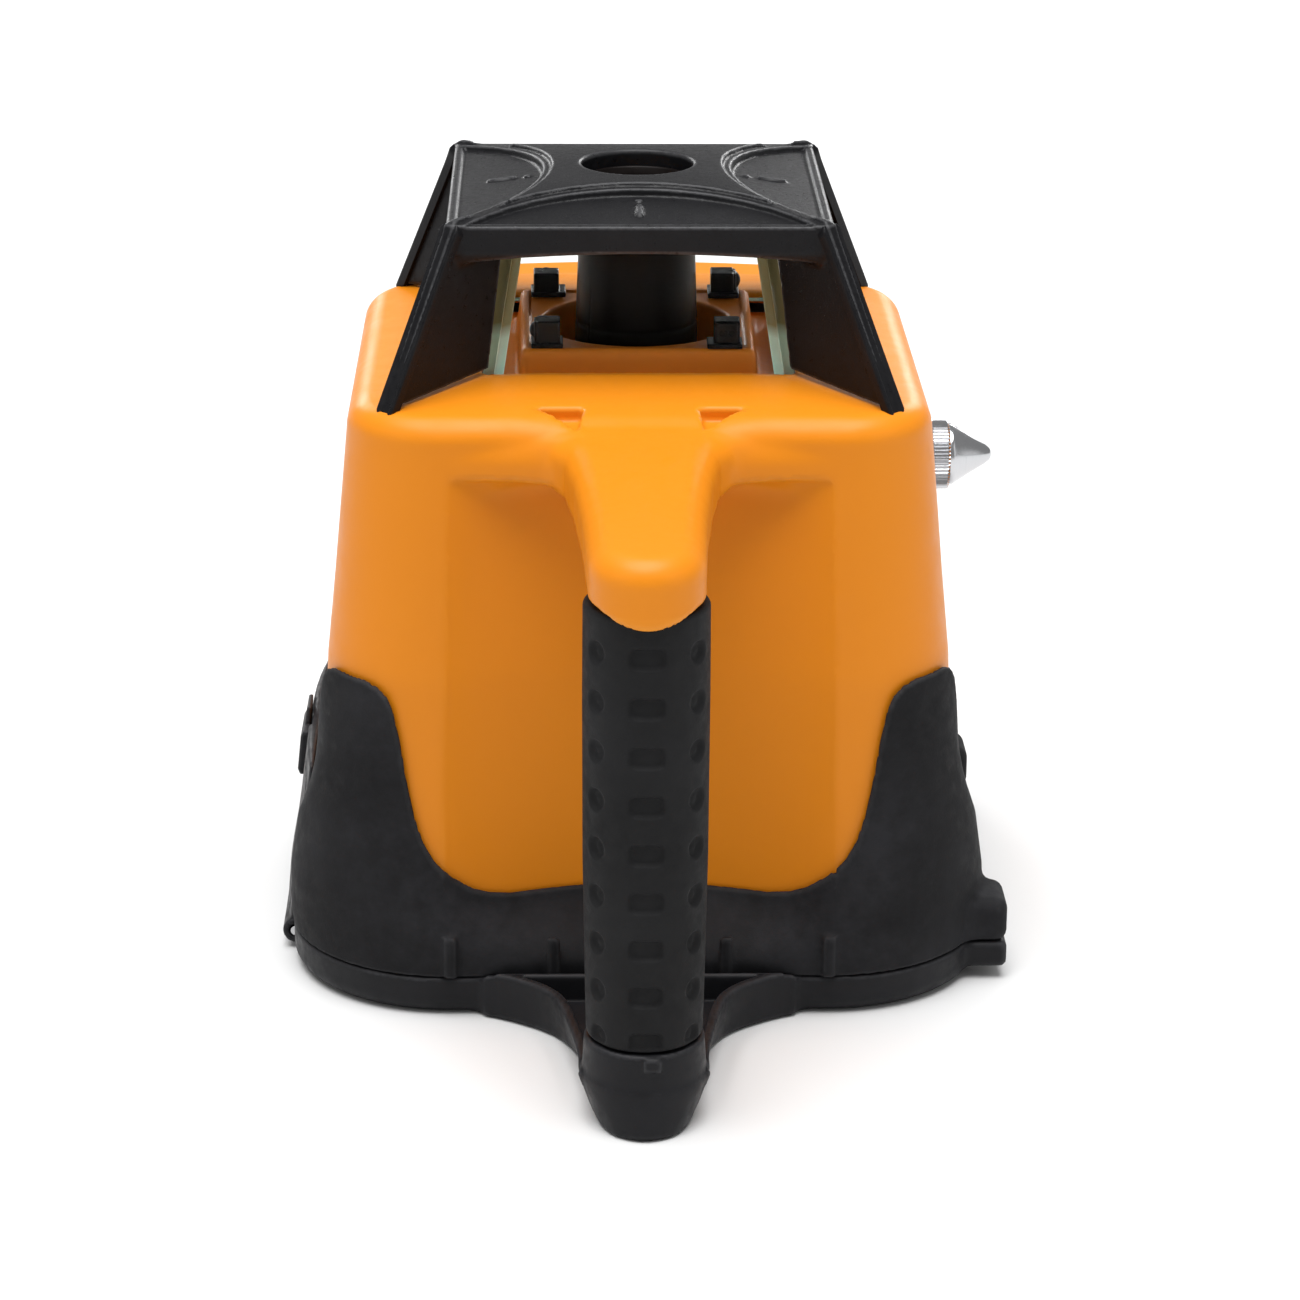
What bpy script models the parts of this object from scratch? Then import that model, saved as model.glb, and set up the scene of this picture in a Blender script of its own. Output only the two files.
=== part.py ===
"""Self-levelling rotary laser level with a carrying handle.

Every length below is in millimetres, measured from the instrument axis
(x = y = 0, the rotor's axis) and from the underside of the base (z = 0).
The handle points to -Y, the keypad to +Y, the battery door to -X and the
adjusting foot to +X. The finished objects are in metres and are shifted so
that the origin lies under the middle of the whole instrument.
"""
import bpy
import bmesh
from math import asin, cos, pi, radians, sin, sqrt
from mathutils import Vector, Matrix

# ---- driving dimensions, mm ------------------------------------------------
ORIGIN_X, ORIGIN_Y = 1.125, -33.2113      # middle of the overall box
WALL = 3.0                           # housing wall
RECESS_DEPTH = 11.0                  # channel behind the grip
RECESS_TOP = 127.4
WINDOW_HALF = 36.5                   # lantern window in the housing top
WINDOW_Z = 144.3
BASE_TOP = 9.5                       # parting line of base and boot
BOOT_LOW = 9.8
HORN_Z = 80.0
DECK_HALF, DECK_TOP, DECK_HOLE_R = 27.0, 147.2, 22.3
CAP_HALF, CAP_EDGE_Z, CAP_MID_Z, CAP_HOLE_R = 44.1, 181.2, 186.0, 13.2
CAP_LOW_Z = 173.6
GRIP_Y, GRIP_R, GRIP_LOW, GRIP_HIGH = -129.0, 13.7, 20.4, 120.2
PIVOT_Z = 128.0                      # gimbal centre
NUT_D, LEVER = 41.0, 35.5            # lead screw and lever distances
KEY_Z, KEY_Y, KEY_TILT = 104.0, 69.75, 4.9
FOOT_Z = 113.5
HINGE_X, HINGE_Z = -82.6, 4.5        # battery door hinge line
GAP = 0.3

for o in list(bpy.data.objects):
    bpy.data.objects.remove(o, do_unlink=True)

# ---- materials -------------------------------------------------------------
PALETTE = {
    "orange_abs": ((0.87, 0.30, 0.015), 0.42, 0.0),
    "black_rubber": ((0.022, 0.022, 0.024), 0.75, 0.0),
    "black_abs": ((0.025, 0.025, 0.028), 0.45, 0.0),
    "black_gloss": ((0.012, 0.010, 0.010), 0.18, 0.0),
    "mint_glass": ((0.62, 0.80, 0.70), 0.04, 0.0),
    "clear_glass": ((0.85, 0.90, 0.92), 0.03, 0.0),
    "red_lens": ((0.35, 0.02, 0.02), 0.12, 0.0),
    "steel": ((0.62, 0.62, 0.64), 0.28, 1.0),
    "chrome": ((0.80, 0.80, 0.82), 0.10, 1.0),
    "brass": ((0.72, 0.52, 0.22), 0.30, 1.0),
    "aluminium": ((0.66, 0.67, 0.69), 0.38, 1.0),
    "board_green": ((0.03, 0.16, 0.07), 0.5, 0.0),
    "grey_abs": ((0.16, 0.16, 0.17), 0.5, 0.0),
    "cell_wrap": ((0.10, 0.10, 0.12), 0.35, 0.0),
    "vial_green": ((0.55, 0.80, 0.10), 0.08, 0.0),
}


def material(node, kind):
    m = bpy.data.materials.new(node + "_material")
    m.use_nodes = True
    colour, rough, metal = PALETTE[kind]
    b = m.node_tree.nodes["Principled BSDF"]
    b.inputs["Base Color"].default_value = (*colour, 1.0)
    b.inputs["Roughness"].default_value = rough
    b.inputs["Metallic"].default_value = metal
    return m


# ---- placing ---------------------------------------------------------------
def world(p):
    return Vector(((p[0] - ORIGIN_X), (p[1] - ORIGIN_Y), p[2])) * 0.001


def pivot(name, p):
    """An empty on a joint's axis."""
    e = bpy.data.objects.new(name, None)
    e.empty_display_size = 0.01
    e.location = world(p)
    bpy.context.scene.collection.objects.link(e)
    e["at"] = p
    return e


def put(name, bm, kind, parent=None, sharp=35.0, cutter=False):
    """Turns a bmesh in instrument millimetres into a placed object."""
    at = world(parent["at"]) if parent else Vector((0, 0, 0))
    bmesh.ops.recalc_face_normals(bm, faces=bm.faces)
    for v in bm.verts:
        v.co = world(v.co) - at
    me = bpy.data.meshes.new(name)
    bm.to_mesh(me)
    bm.free()
    o = bpy.data.objects.new(name, me)
    bpy.context.scene.collection.objects.link(o)
    if parent:
        o.parent = parent
    if cutter:
        o.hide_render = True
        o.display_type = "WIRE"
        return o
    me.shade_smooth()
    me.set_sharp_from_angle(angle=radians(sharp))
    me.materials.append(material(name, kind))
    return o


def boolean(o, name, bm, operation="DIFFERENCE"):
    c = put(name, bm, None, cutter=True, parent=None)
    if o.parent:
        c.parent = o.parent
        at = world(o.parent["at"])
        for v in c.data.vertices:
            v.co = v.co - at
    m = o.modifiers.new(name, "BOOLEAN")
    m.operation = operation
    m.solver = "EXACT"
    m.object = c
    return c


# ---- shapes ----------------------------------------------------------------
def loft(rings, closed=False, bm=None):
    """Skins rings of equal length; ends are capped, or joined when closed."""
    bm = bm or bmesh.new()
    rows = [[bm.verts.new(p) for p in ring] for ring in rings]
    n = len(rows[0])
    count = len(rows) if closed else len(rows) - 1
    for i in range(count):
        a, b = rows[i], rows[(i + 1) % len(rows)]
        for k in range(n):
            bm.faces.new((a[k], a[(k + 1) % n], b[(k + 1) % n], b[k]))
    if not closed:
        bm.faces.new(rows[0])
        bm.faces.new(rows[-1])
    return bm


AXES = {
    "z": (Vector((1, 0, 0)), Vector((0, 1, 0)), Vector((0, 0, 1))),
    "x": (Vector((0, 1, 0)), Vector((0, 0, 1)), Vector((1, 0, 0))),
    "y": (Vector((0, 0, 1)), Vector((1, 0, 0)), Vector((0, 1, 0))),
}


def circle(c, r, h, seg, axis="z", turn=0.0):
    u, v, w = AXES[axis] if isinstance(axis, str) else axis
    c = Vector(c)
    return [c + u * (r * cos(2 * pi * k / seg + turn)) + v * (r * sin(2 * pi * k / seg + turn)) + w * h for k in range(seg)]


def turned(c, profile, seg=24, axis="z", ring=False, bm=None):
    """A turned piece; profile is (radius, height) pairs, a closed loop if ring."""
    return loft([circle(c, r, h, seg, axis) for r, h in profile], closed=ring, bm=bm)


def rod(c, r, h0, h1, seg=24, axis="z", bm=None):
    return turned(c, [(r, h0), (r, h1)], seg, axis, bm=bm)


def pipe(c, r0, r1, h0, h1, seg=24, axis="z", bm=None):
    return turned(c, [(r1, h0), (r1, h1), (r0, h1), (r0, h0)], seg, axis, ring=True, bm=bm)


def block(lo, hi, bevel=0.0, seg=1, bm=None, frame=None):
    bm = bm or bmesh.new()
    v = []
    for z in (lo[2], hi[2]):
        for x, y in ((lo[0], lo[1]), (hi[0], lo[1]), (hi[0], hi[1]), (lo[0], hi[1])):
            p = Vector((x, y, z))
            v.append(bm.verts.new(frame(p) if frame else p))
    f = [bm.faces.new([v[i] for i in q]) for q in
         ((0, 3, 2, 1), (4, 5, 6, 7), (0, 1, 5, 4), (1, 2, 6, 5), (2, 3, 7, 6), (3, 0, 4, 7))]
    if bevel:
        edges = list({e for q in f for e in q.edges})
        bmesh.ops.bevel(bm, geom=edges, offset=bevel, segments=seg, profile=0.5, affect="EDGES")
    return bm


def prism(outline, h0, h1, axis="z", bm=None, frame=None):
    bm = bm or bmesh.new()
    u, v, w = AXES[axis]
    f = frame or (lambda p: p)
    lo = [bm.verts.new(f(u * a + v * b + w * h0)) for a, b in outline]
    hi = [bm.verts.new(f(u * a + v * b + w * h1)) for a, b in outline]
    n = len(outline)
    for k in range(n):
        bm.faces.new((lo[k], lo[(k + 1) % n], hi[(k + 1) % n], hi[k]))
    bm.faces.new(lo)
    bm.faces.new(hi)
    return bm


def lerp(table, t):
    """Piecewise linear reading of a table of (t, value...) rows."""
    if t <= table[0][0]:
        return table[0][1:]
    for a, b in zip(table, table[1:]):
        if t <= b[0]:
            k = (t - a[0]) / (b[0] - a[0])
            return tuple(p + (q - p) * k for p, q in zip(a[1:], b[1:]))
    return table[-1][1:]


def smooth(t):
    t = max(0.0, min(1.0, t))
    return t * t * (3 - 2 * t)


# ---- the body's outline ----------------------------------------------------
# height: half width in X, half width in Y, corner radius
BODY = [
    (9.0, 76.0, 73.2, 29.0),
    (80.0, 72.6, 71.5, 25.0),
    (100.0, 70.5, 70.0, 23.5),
    (119.0, 68.7, 68.4, 22.0),
    (134.0, 67.3, 67.1, 21.0),
]
# the rounded shoulder and the gently rising top, out to the window
TOP = [
    (137.9, 65.9, 65.8, 20.5),
    (140.2, 62.9, 62.9, 19.5),
    (141.4, 58.5, 58.5, 17.5),
    (142.9, 48.0, 48.0, 12.0),
    (WINDOW_Z, WINDOW_HALF, WINDOW_HALF, 3.0),
]
BACK, SIDE, CORNER = 10, 3, 5


def recess_half(z):
    return 45.6 - 2.6 * (z - 9.0) / 118.0


def recess(x, z):
    half = recess_half(z)
    return RECESS_DEPTH * max(0.0, 1 - (x / half) ** 2) if z < RECESS_TOP else 0.0


def outline(hx, hy, r, z, deep=None):
    """One closed ring, counter-clockwise from the back left corner's end."""
    pts = []
    flat = hx - r
    half = min(recess_half(z), flat - 0.4)
    xs = [-flat] + [half * (2 * k / BACK - 1) for k in range(BACK + 1)]
    for x in xs:
        d = (recess(x, z) if deep is None else deep(x)) if abs(x) < half - 1e-6 else 0.0
        pts.append((x, -hy + d, z))

    def corner(cx, cy, a0):
        for k in range(CORNER + 1):
            a = a0 + k * pi / 2 / CORNER
            pts.append((cx + r * cos(a), cy + r * sin(a), z))

    def side(x0, y0, x1, y1, n):
        for k in range(1, n):
            pts.append((x0 + (x1 - x0) * k / n, y0 + (y1 - y0) * k / n, z))

    corner(flat, -hy + r, -pi / 2)
    side(hx, -hy + r, hx, hy - r, SIDE)
    corner(flat, hy - r, 0)
    side(flat, hy, -flat, hy, SIDE)
    corner(-flat, hy - r, pi / 2)
    side(-hx, hy - r, -hx, -hy + r, SIDE)
    corner(-flat, -hy + r, pi)
    return pts[:-1]


def body_ring(z, inset=0.0, deep=None):
    hx, hy, r = lerp(BODY, z)
    return outline(hx - inset, hy - inset, r - inset, z, deep)


# ---- housing with its upper handle arm -------------------------------------
rings = [body_ring(z) for z in (BOOT_LOW, 28.0, 54.0, 80.0, 100.0, 119.0, RECESS_TOP - 0.25)]
rings += [body_ring(z) for z in (RECESS_TOP, 134.0)]
rings += [outline(hx, hy, r, z) for z, hx, hy, r in TOP]
for z, hx, hy, r in reversed(TOP):
    rings.append(outline(hx - (0 if hx == WINDOW_HALF else 1.4), hy - (0 if hx == WINDOW_HALF else 1.4), max(r - 1.4, 4.0), z - WALL))
rings += [body_ring(131.0, WALL)]
rings += [body_ring(z, WALL, lambda x, z=z: recess(x, min(z, RECESS_TOP - 1))) for z in (130.5, 119.0, 100.0, 80.0, BOOT_LOW)]
housing = put("housing", loft(rings, closed=True), "orange_abs")

# y: half width, top, bottom, corner rounding
ARM = [
    (-61.0, 37.0, 139.9, 128.2, 4.0),
    (-65.0, 36.0, 139.6, 127.9, 4.5),
    (-67.5, 28.0, 139.4, 127.4, 5.0),
    (-70.5, 21.0, 139.1, 126.4, 5.5),
    (-76.0, 17.4, 138.6, 125.0, 5.8),
    (-88.0, 15.4, 137.6, 123.6, 5.8),
    (-108.0, 13.6, 135.9, 122.4, 5.6),
    (-130.0, 12.7, 134.0, 121.0, 5.4),
    (-139.5, 11.9, 132.6, 120.7, 5.2),
    (-143.2, 9.6, 130.9, 121.0, 4.4),
    (-144.4, 6.6, 129.0, 122.4, 3.0),
]


def arm_ring(y, w, top, low, r, seg=4):
    pts = []
    for cx, cz, a0 in ((w - r, low + r, -pi / 2), (w - r, top - r, 0), (-w + r, top - r, pi / 2), (-w + r, low + r, pi)):
        for k in range(seg + 1):
            a = a0 + k * pi / 2 / seg
            pts.append((cx + r * cos(a), y, cz + r * sin(a)))
    return pts


boolean(housing, "upper_arm_union", loft([arm_ring(*row) for row in ARM]), "UNION")
boolean(housing, "handle_core_pocket", rod((0, GRIP_Y, 0), 9.5, 112.0, 128.5, 24))
KT = radians(KEY_TILT)
KV, KN = Vector((0, -sin(KT), cos(KT))), Vector((0, cos(KT), sin(KT)))


def key_frame(p):
    """Keypad frame: x along the panel, y up the panel, z out of it."""
    return Vector((0, KEY_Y, KEY_Z)) + Vector((1, 0, 0)) * p.x + KV * p.y + KN * p.z


KEY_AXES = (Vector((1, 0, 0)), KV, KN)
boolean(housing, "keypad_opening", block((-32.4, -17.4, -8), (32.4, 17.4, 6), frame=key_frame))
boolean(housing, "foot_hole", rod((0, 0, FOOT_Z), 6.0, 60.0, 76.0, 24, "x"))
boolean(housing, "battery_opening", block((-82, -36.3, 5.0), (-66, 36.3, 45.0)))
for s, n in ((-1, "left"), (1, "right")):
    tri = [(s * 21.7, -55.2), (s * 13.6, -55.2), (s * 14.4, -63.5)]
    boolean(housing, "top_notch_" + n, prism(tri if s > 0 else tri[::-1], 140.0, 146.0))

# ---- rubber boot -----------------------------------------------------------
# outer half width of the skirt against height
SKIRT = [
    (9.0, 82.6, 77.6, 38.0), (13.0, 83.1, 78.0, 38.5), (24.0, 82.9, 77.9, 38.0), (39.0, 80.6, 76.6, 35.0),
    (50.0, 78.4, 75.2, 32.0), (60.0, 76.3, 74.2, 29.0), (80.0, 74.4, 73.2, 26.5),
]


def boot_top(x, y):
    """Height of the boot's upper edge: low in the middle of each face, a horn on each corner."""
    ax, ay = abs(x) / 74.0, abs(y) / 71.0
    if ay >= ax:
        t = abs(x)
        low, a, b = 28.5, 34.0, 59.0
    else:
        t = abs(y)
        low, a, b = 47.5, 34.0, 56.0
    return low + (HORN_Z - low) * smooth((t - a) / (b - a))


def boot_rings():
    steps_out = [0.0, 0.15, 0.4, 0.65, 0.85, 1.0]
    steps_in = [1.0, 0.5, 0.0]
    ref = body_ring(60.0)
    tops = [boot_top(p[0], p[1]) for p in ref]
    out = []
    for t in steps_out:
        ring = []
        for k, p in enumerate(ref):
            z = BOOT_LOW + (tops[k] - BOOT_LOW) * t
            hx, hy, r = lerp(SKIRT, z)
            a = Vector(outline(hx, hy, r, z, lambda x: 0.0)[k])
            b = Vector(body_ring(z)[k])
            n = Vector((b.x - 0.72 * b.x, b.y - 0.72 * b.y, 0)).normalized()
            if ref[k][1] < -70.0:
                n = Vector((0, -1, 0))
            lip = b + n * 1.9
            s = smooth((tops[k] - z) / 14.0)
            q = lip.lerp(a, s)
            ring.append((q.x, q.y, z))
        out.append(ring)
    for t in steps_in:
        ring = []
        for k, p in enumerate(ref):
            z = BOOT_LOW + (tops[k] - BOOT_LOW) * t
            hx, hy, r = lerp(BODY, z)
            q = outline(hx + 0.45, hy + 0.45, r + 0.45, z, lambda x, z=z: recess(x, z) if abs(x) < recess_half(z) else 0.0)[k]
            ring.append(q)
        out.append(ring)
    return out


boot = put("rubber_boot", loft(boot_rings(), closed=True), "black_rubber")
REST_FEET = (-50.0, 50.0)
for y in REST_FEET:
    bm = block((76.6, y - 8.0, BOOT_LOW), (88.0, y + 8.0, 25.0), bevel=2.2, seg=1)
    boolean(boot, "rest_bump_%d" % y, bm, "UNION")
boolean(boot, "boot_door_opening", block((-95, -38.3, 0), (-70, 38.3, 48.2)))

# ---- base cover with the lower handle arm ----------------------------------
def base_ring(inset, z, drop=0.0):
    return outline(82.6 - inset, 77.6 - inset, 38.0 - inset, z, lambda x: 0.0)


base = put("base_cover", loft([base_ring(5.0, 0.0), base_ring(2.2, 1.4), base_ring(0.4, 4.5), base_ring(0.0, BASE_TOP),
                               base_ring(3.2, BASE_TOP), base_ring(3.4, 4.0)]), "black_abs")
half_plan = [(37.4, -72.0), (37.0, -79.4), (29.6, -81.1), (23.2, -86.4), (19.0, -94.0), (16.3, -108.0), (14.6, -120.0), (13.6, -130.0),
             (11.6, -136.6), (8.6, -140.6), (4.4, -143.4)]
plan = [(-x, y) for x, y in half_plan] + [(0.0, -144.4)] + half_plan[::-1]
arm_rings = [[(x * 0.96, y + 0.6, 0.0) for x, y in plan], [(x, y, 1.0) for x, y in plan], [(x, y, 9.4) for x, y in plan]]
for z, k in ((9.45, 1.0), (10.4, 1.0), (11.6, 0.95)):
    arm_rings.append([(x * k, min(y, -78.5 - abs(x) * 0.002) + 0.6 * (1 - k) * 20 * (y < -100), z) for x, y in plan])
bm = loft(arm_rings)
boolean(base, "lower_arm_union", bm, "UNION")
boolean(base, "grip_socket_union", turned((0, GRIP_Y, 0), [(14.0, 2.0), (14.0, 18.6), (13.2, 19.8)], 24), "UNION")
boolean(base, "core_socket", rod((0, GRIP_Y, 0), 9.5, 6.0, 24.0, 24))
boolean(base, "core_screw_hole", turned((0, GRIP_Y, 0), [(4.2, -1.0), (4.2, 3.4), (2.3, 3.41), (2.3, 8.0)], 16))
boolean(base, "tripod_hole", rod((0, 0, 0), 13.4, -1, 8, 24))
boolean(base, "door_opening", block((-95, -38.3, -2), (-75.6, 38.3, 12)))
BASE_SCREWS = [(-52.0, -52.0), (52.0, -52.0), (52.0, 52.0), (-52.0, 52.0)]
bm = bmesh.new()
for x, y in BASE_SCREWS:
    turned((x, y, 0), [(3.7, -1.0), (3.7, 2.1), (2.0, 2.11), (2.0, 6.0)], 12, bm=bm)
boolean(base, "base_screw_holes", bm)
for y in REST_FEET:
    boolean(base, "rest_foot_%d" % y, block((76.6, y - 8.0, 3.2), (88.0, y + 8.0, BASE_TOP), bevel=1.6, seg=1), "UNION")
names = ("back_left", "back_right", "front_right", "front_left")
for n, (x, y) in zip(names, BASE_SCREWS):
    put("base_screw_" + n, turned((x, y, 0), [(3.1, 0.7), (3.3, 1.1), (3.3, 1.8), (1.6, 1.81), (1.6, 9.0)], 10), "steel")

put("tripod_insert", turned((0, 0, 0), [(13.0, 0.4), (13.0, 3.8), (11.0, 3.9), (11.0, 21.6), (7.0, 21.6), (7.0, 0.4)], 24, ring=True), "brass")

# ---- handle ----------------------------------------------------------------
put("handle_core", pipe((0, GRIP_Y, 0), 2.4, 9.1, 6.4, 128.0, 24), "black_abs")
put("grip", turned((0, GRIP_Y, 0), [(12.9, GRIP_LOW), (13.5, GRIP_LOW + 1.0), (13.7, 60.0), (13.8, 100.0), (13.7, GRIP_HIGH - 1.0),
                                    (13.1, GRIP_HIGH), (9.5, GRIP_HIGH), (9.5, GRIP_LOW)], 24, ring=True), "black_rubber")
put("handle_screw", turned((0, GRIP_Y, 0), [(3.6, 0.9), (3.8, 1.3), (3.8, 3.0), (1.9, 3.01), (1.9, 16.0)], 12), "steel")

# ---- lantern cage: cap and four finned posts --------------------------------
def cap_ring(half, z, r=3.0, rise=0.0, n=8):
    """A square ring whose sides bow upward by rise at mid-span."""
    pts = []
    for q in range(4):
        a0 = -pi * 3 / 4 + q * pi / 2
        for k in range(n):
            t = -1 + 2 * k / n
            u = half
            p = Vector((t * half, -u, z + rise * (1 - t * t)))
            if k == 0:
                p = Vector((-half + 0.29 * r, -half + 0.29 * r, z))
            c, s = cos(q * pi / 2), sin(q * pi / 2)
            pts.append((p.x * c - p.y * s, p.x * s + p.y * c, p.z))
    return pts


def cap_circle(r, z, n=32):
    return [(r * cos(-3 * pi / 4 + 2 * pi * k / n), r * sin(-3 * pi / 4 + 2 * pi * k / n), z) for k in range(n)]


cap_rings = [cap_ring(43.0, CAP_LOW_Z - 1.6, rise=2.6), cap_ring(44.4, CAP_LOW_Z - 1.0, rise=2.6), cap_ring(CAP_HALF, CAP_EDGE_Z - 0.6, rise=1.6),
             cap_ring(CAP_HALF - 0.8, CAP_EDGE_Z, rise=1.8), cap_circle(16.0, CAP_MID_Z), cap_circle(14.0, CAP_MID_Z), cap_circle(CAP_HOLE_R, CAP_MID_Z - 0.7),
             cap_circle(CAP_HOLE_R, CAP_LOW_Z), cap_circle(15.5, CAP_LOW_Z), cap_ring(40.5, CAP_LOW_Z, rise=1.0)]
cage = put("cage", loft(cap_rings, closed=True), "black_abs")
ARC_R, ARC_C, ARC_SLOPE, ARC_X = 47.3, 69.8, 0.236, 37.5


def recess_plan(n=24):
    """Plan of one cap recess on the back side: an arc, closed outside the cap."""
    pts = []
    for k in range(n + 1):
        x = ARC_X - 2 * ARC_X * k / n
        pts.append((x, -ARC_C + sqrt(ARC_R ** 2 - x * x)))
    return pts + [(-ARC_X, -60.0), (ARC_X, -60.0)]


for q, n in enumerate(("back", "right", "front", "left")):
    rot = Matrix.Rotation(q * pi / 2, 3, "Z")
    plan_pts = recess_plan()
    boolean(cage, "cap_recess_" + n, loft([[rot @ Vector((x, y, 178.2 + (y + 43.0) * ARC_SLOPE)) for x, y in plan_pts],
                                           [rot @ Vector((x, y, 192.0)) for x, y in plan_pts]]))

FIN_FOOT = [(50.6, 145.1), (62.9, 143.6), (76.0, 142.1), (80.9, 140.9), (83.2, 139.4)]
for q in range(4):
    a = -3 * pi / 4 + q * pi / 2
    c, s = cos(a), sin(a)

    def fin_frame(p, c=c, s=s):
        return Vector((p.x * c - p.y * s, p.x * s + p.y * c, p.z))
    outer = [(83.2, 139.4), (82.9, 141.6), (61.6, 180.6)]
    web = [(p[0], p[1]) for p in FIN_FOOT] + [(81.6, 141.6), (60.6, 180.0), (56.0, 179.5), (45.6, 174.4)]
    bm = bmesh.new()
    lo = [bm.verts.new(fin_frame(Vector((r, -1.5, z)))) for r, z in web]
    hi = [bm.verts.new(fin_frame(Vector((r, 1.5, z)))) for r, z in web]
    m = len(web)
    for k in range(m):
        bm.faces.new((lo[k], lo[(k + 1) % m], hi[(k + 1) % m], hi[k]))
    bm.faces.new(lo)
    bm.faces.new(hi)
    boolean(cage, "fin_%d" % q, bm, "UNION")
    flange = [(80.4, 141.2), (83.2, 139.5), (84.0, 141.0), (62.2, 180.9), (59.6, 180.2)]
    bm = bmesh.new()
    lo = [bm.verts.new(fin_frame(Vector((r, -2.5, z)))) for r, z in flange]
    hi = [bm.verts.new(fin_frame(Vector((r, 2.5, z)))) for r, z in flange]
    m = len(flange)
    for k in range(m):
        bm.faces.new((lo[k], lo[(k + 1) % m], hi[(k + 1) % m], hi[k]))
    bm.faces.new(lo)
    bm.faces.new(hi)
    boolean(cage, "post_flange_%d" % q, bm, "UNION")

# ---- glass -----------------------------------------------------------------
PANE_LOW, PANE_HIGH = (142.4, 35.2, 33.9), (172.2, 30.6, 29.2)   # height, distance, half width
for q, n in enumerate(("back", "right", "front", "left")):
    rot = Matrix.Rotation(q * pi / 2, 3, "Z")
    bm = bmesh.new()
    v = []
    for z, d, w in (PANE_LOW, PANE_HIGH):
        for x, y in ((-w, -d - 1.0), (w, -d - 1.0), (w - 1.2, -d + 1.0), (-w + 1.2, -d + 1.0)):
            v.append(bm.verts.new(rot @ Vector((x, y, z))))
    for f in ((0, 3, 2, 1), (4, 5, 6, 7), (0, 1, 5, 4), (1, 2, 6, 5), (2, 3, 7, 6), (3, 0, 4, 7)):
        bm.faces.new([v[i] for i in f])
    put("pane_" + n, bm, "mint_glass")
put("exit_bezel", turned((0, 0, 0), [(12.8, 177.0), (12.8, 181.6), (11.4, 181.6), (10.6, 179.4), (10.6, 177.0)], 24, ring=True), "black_gloss")
put("exit_window", rod((0, 0, 0), 12.6, 174.9, 176.6, 24), "clear_glass")

# ---- deck and receivers ----------------------------------------------------
def square(half, z, r, n=32):
    pts = []
    for k in range(n):
        a = -3 * pi / 4 + 2 * pi * k / n
        c, s = cos(a), sin(a)
        f = half / max(abs(c), abs(s))
        pts.append((f * c * (1 - 0.0), f * s, z))
    return [(x * (1 - 0.29 * r / half if abs(abs(x) - abs(y)) < 1e-3 else 1), y * (1 - 0.29 * r / half if abs(abs(x) - abs(y)) < 1e-3 else 1), z) for x, y, z in pts]


put("deck", loft([square(33.6, 137.0, 2), square(33.6, 139.5, 2), square(31.0, 140.2, 2), square(27.6, 140.4, 2), square(DECK_HALF, 146.0, 2), square(DECK_HALF - 1.0, DECK_TOP, 2),
                  cap_circle(DECK_HOLE_R, DECK_TOP), cap_circle(DECK_HOLE_R, 137.0)], closed=True), "orange_abs")
RECEIVERS = {"receiver_back_left": (-21.2, -23.0, "-x"), "receiver_back_right": (20.6, -23.4, "-y"),
             "receiver_front_right": (21.0, 22.6, "+x"), "receiver_front_left": (-21.0, 22.6, "+y")}
for n, (x, y, d) in RECEIVERS.items():
    bm = block((x - 3.3, y - 3.1, 147.5), (x + 3.3, y + 3.1, 154.8), bevel=0.3)
    put(n, bm, "black_gloss")

# ---- chassis and gimbal ----------------------------------------------------
oct_half, oct_cut = 58.0, 16.0
octagon = [(-oct_half + oct_cut, -oct_half + 3), (oct_half - oct_cut, -oct_half + 3), (oct_half, -oct_half + oct_cut), (oct_half, oct_half - oct_cut),
           (oct_half - oct_cut, oct_half), (-oct_half + oct_cut, oct_half), (-oct_half, oct_half - oct_cut), (-oct_half, -oct_half + oct_cut)]
chassis = put("chassis_plate", prism(octagon, 132.6, 136.6), "aluminium")
boolean(chassis, "chassis_hole", rod((0, 0, 0), 34.0, 130, 140, 28))
for s, n in ((-1, "left"), (1, "right")):
    x0, x1 = sorted((s * 33.4, s * 38.6))
    boolean(chassis, "lug_" + n, block((x0, -4.5, 125.2), (x1, 4.5, 133.8)), "UNION")
boolean(chassis, "lug_bore", rod((0, 0, PIVOT_Z), 1.8, -42, 42, 16, "x"))
boolean(chassis, "screw_top_x", rod((NUT_D, 0, 0), 2.6, 130, 140, 16))
boolean(chassis, "screw_top_y", rod((0, NUT_D, 0), 2.6, 130, 140, 16))

RING_AT = pivot("gimbal_axis_x", (0, 0, PIVOT_Z))
ring_obj = put("gimbal_ring", pipe((0, 0, 0), 27.6, 31.0, 125.6, 130.4, 32), "aluminium", RING_AT)
for s, n in ((-1, "left"), (1, "right")):
    h0, h1 = sorted((s * 29.0, s * 37.6))
    boolean(ring_obj, "ring_pin_" + n, rod((0, 0, PIVOT_Z), 1.4, h0, h1, 16, "x"), "UNION")
boolean(ring_obj, "ring_bore", rod((0, 0, PIVOT_Z), 1.8, -34, 34, 16, "y"))

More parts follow.
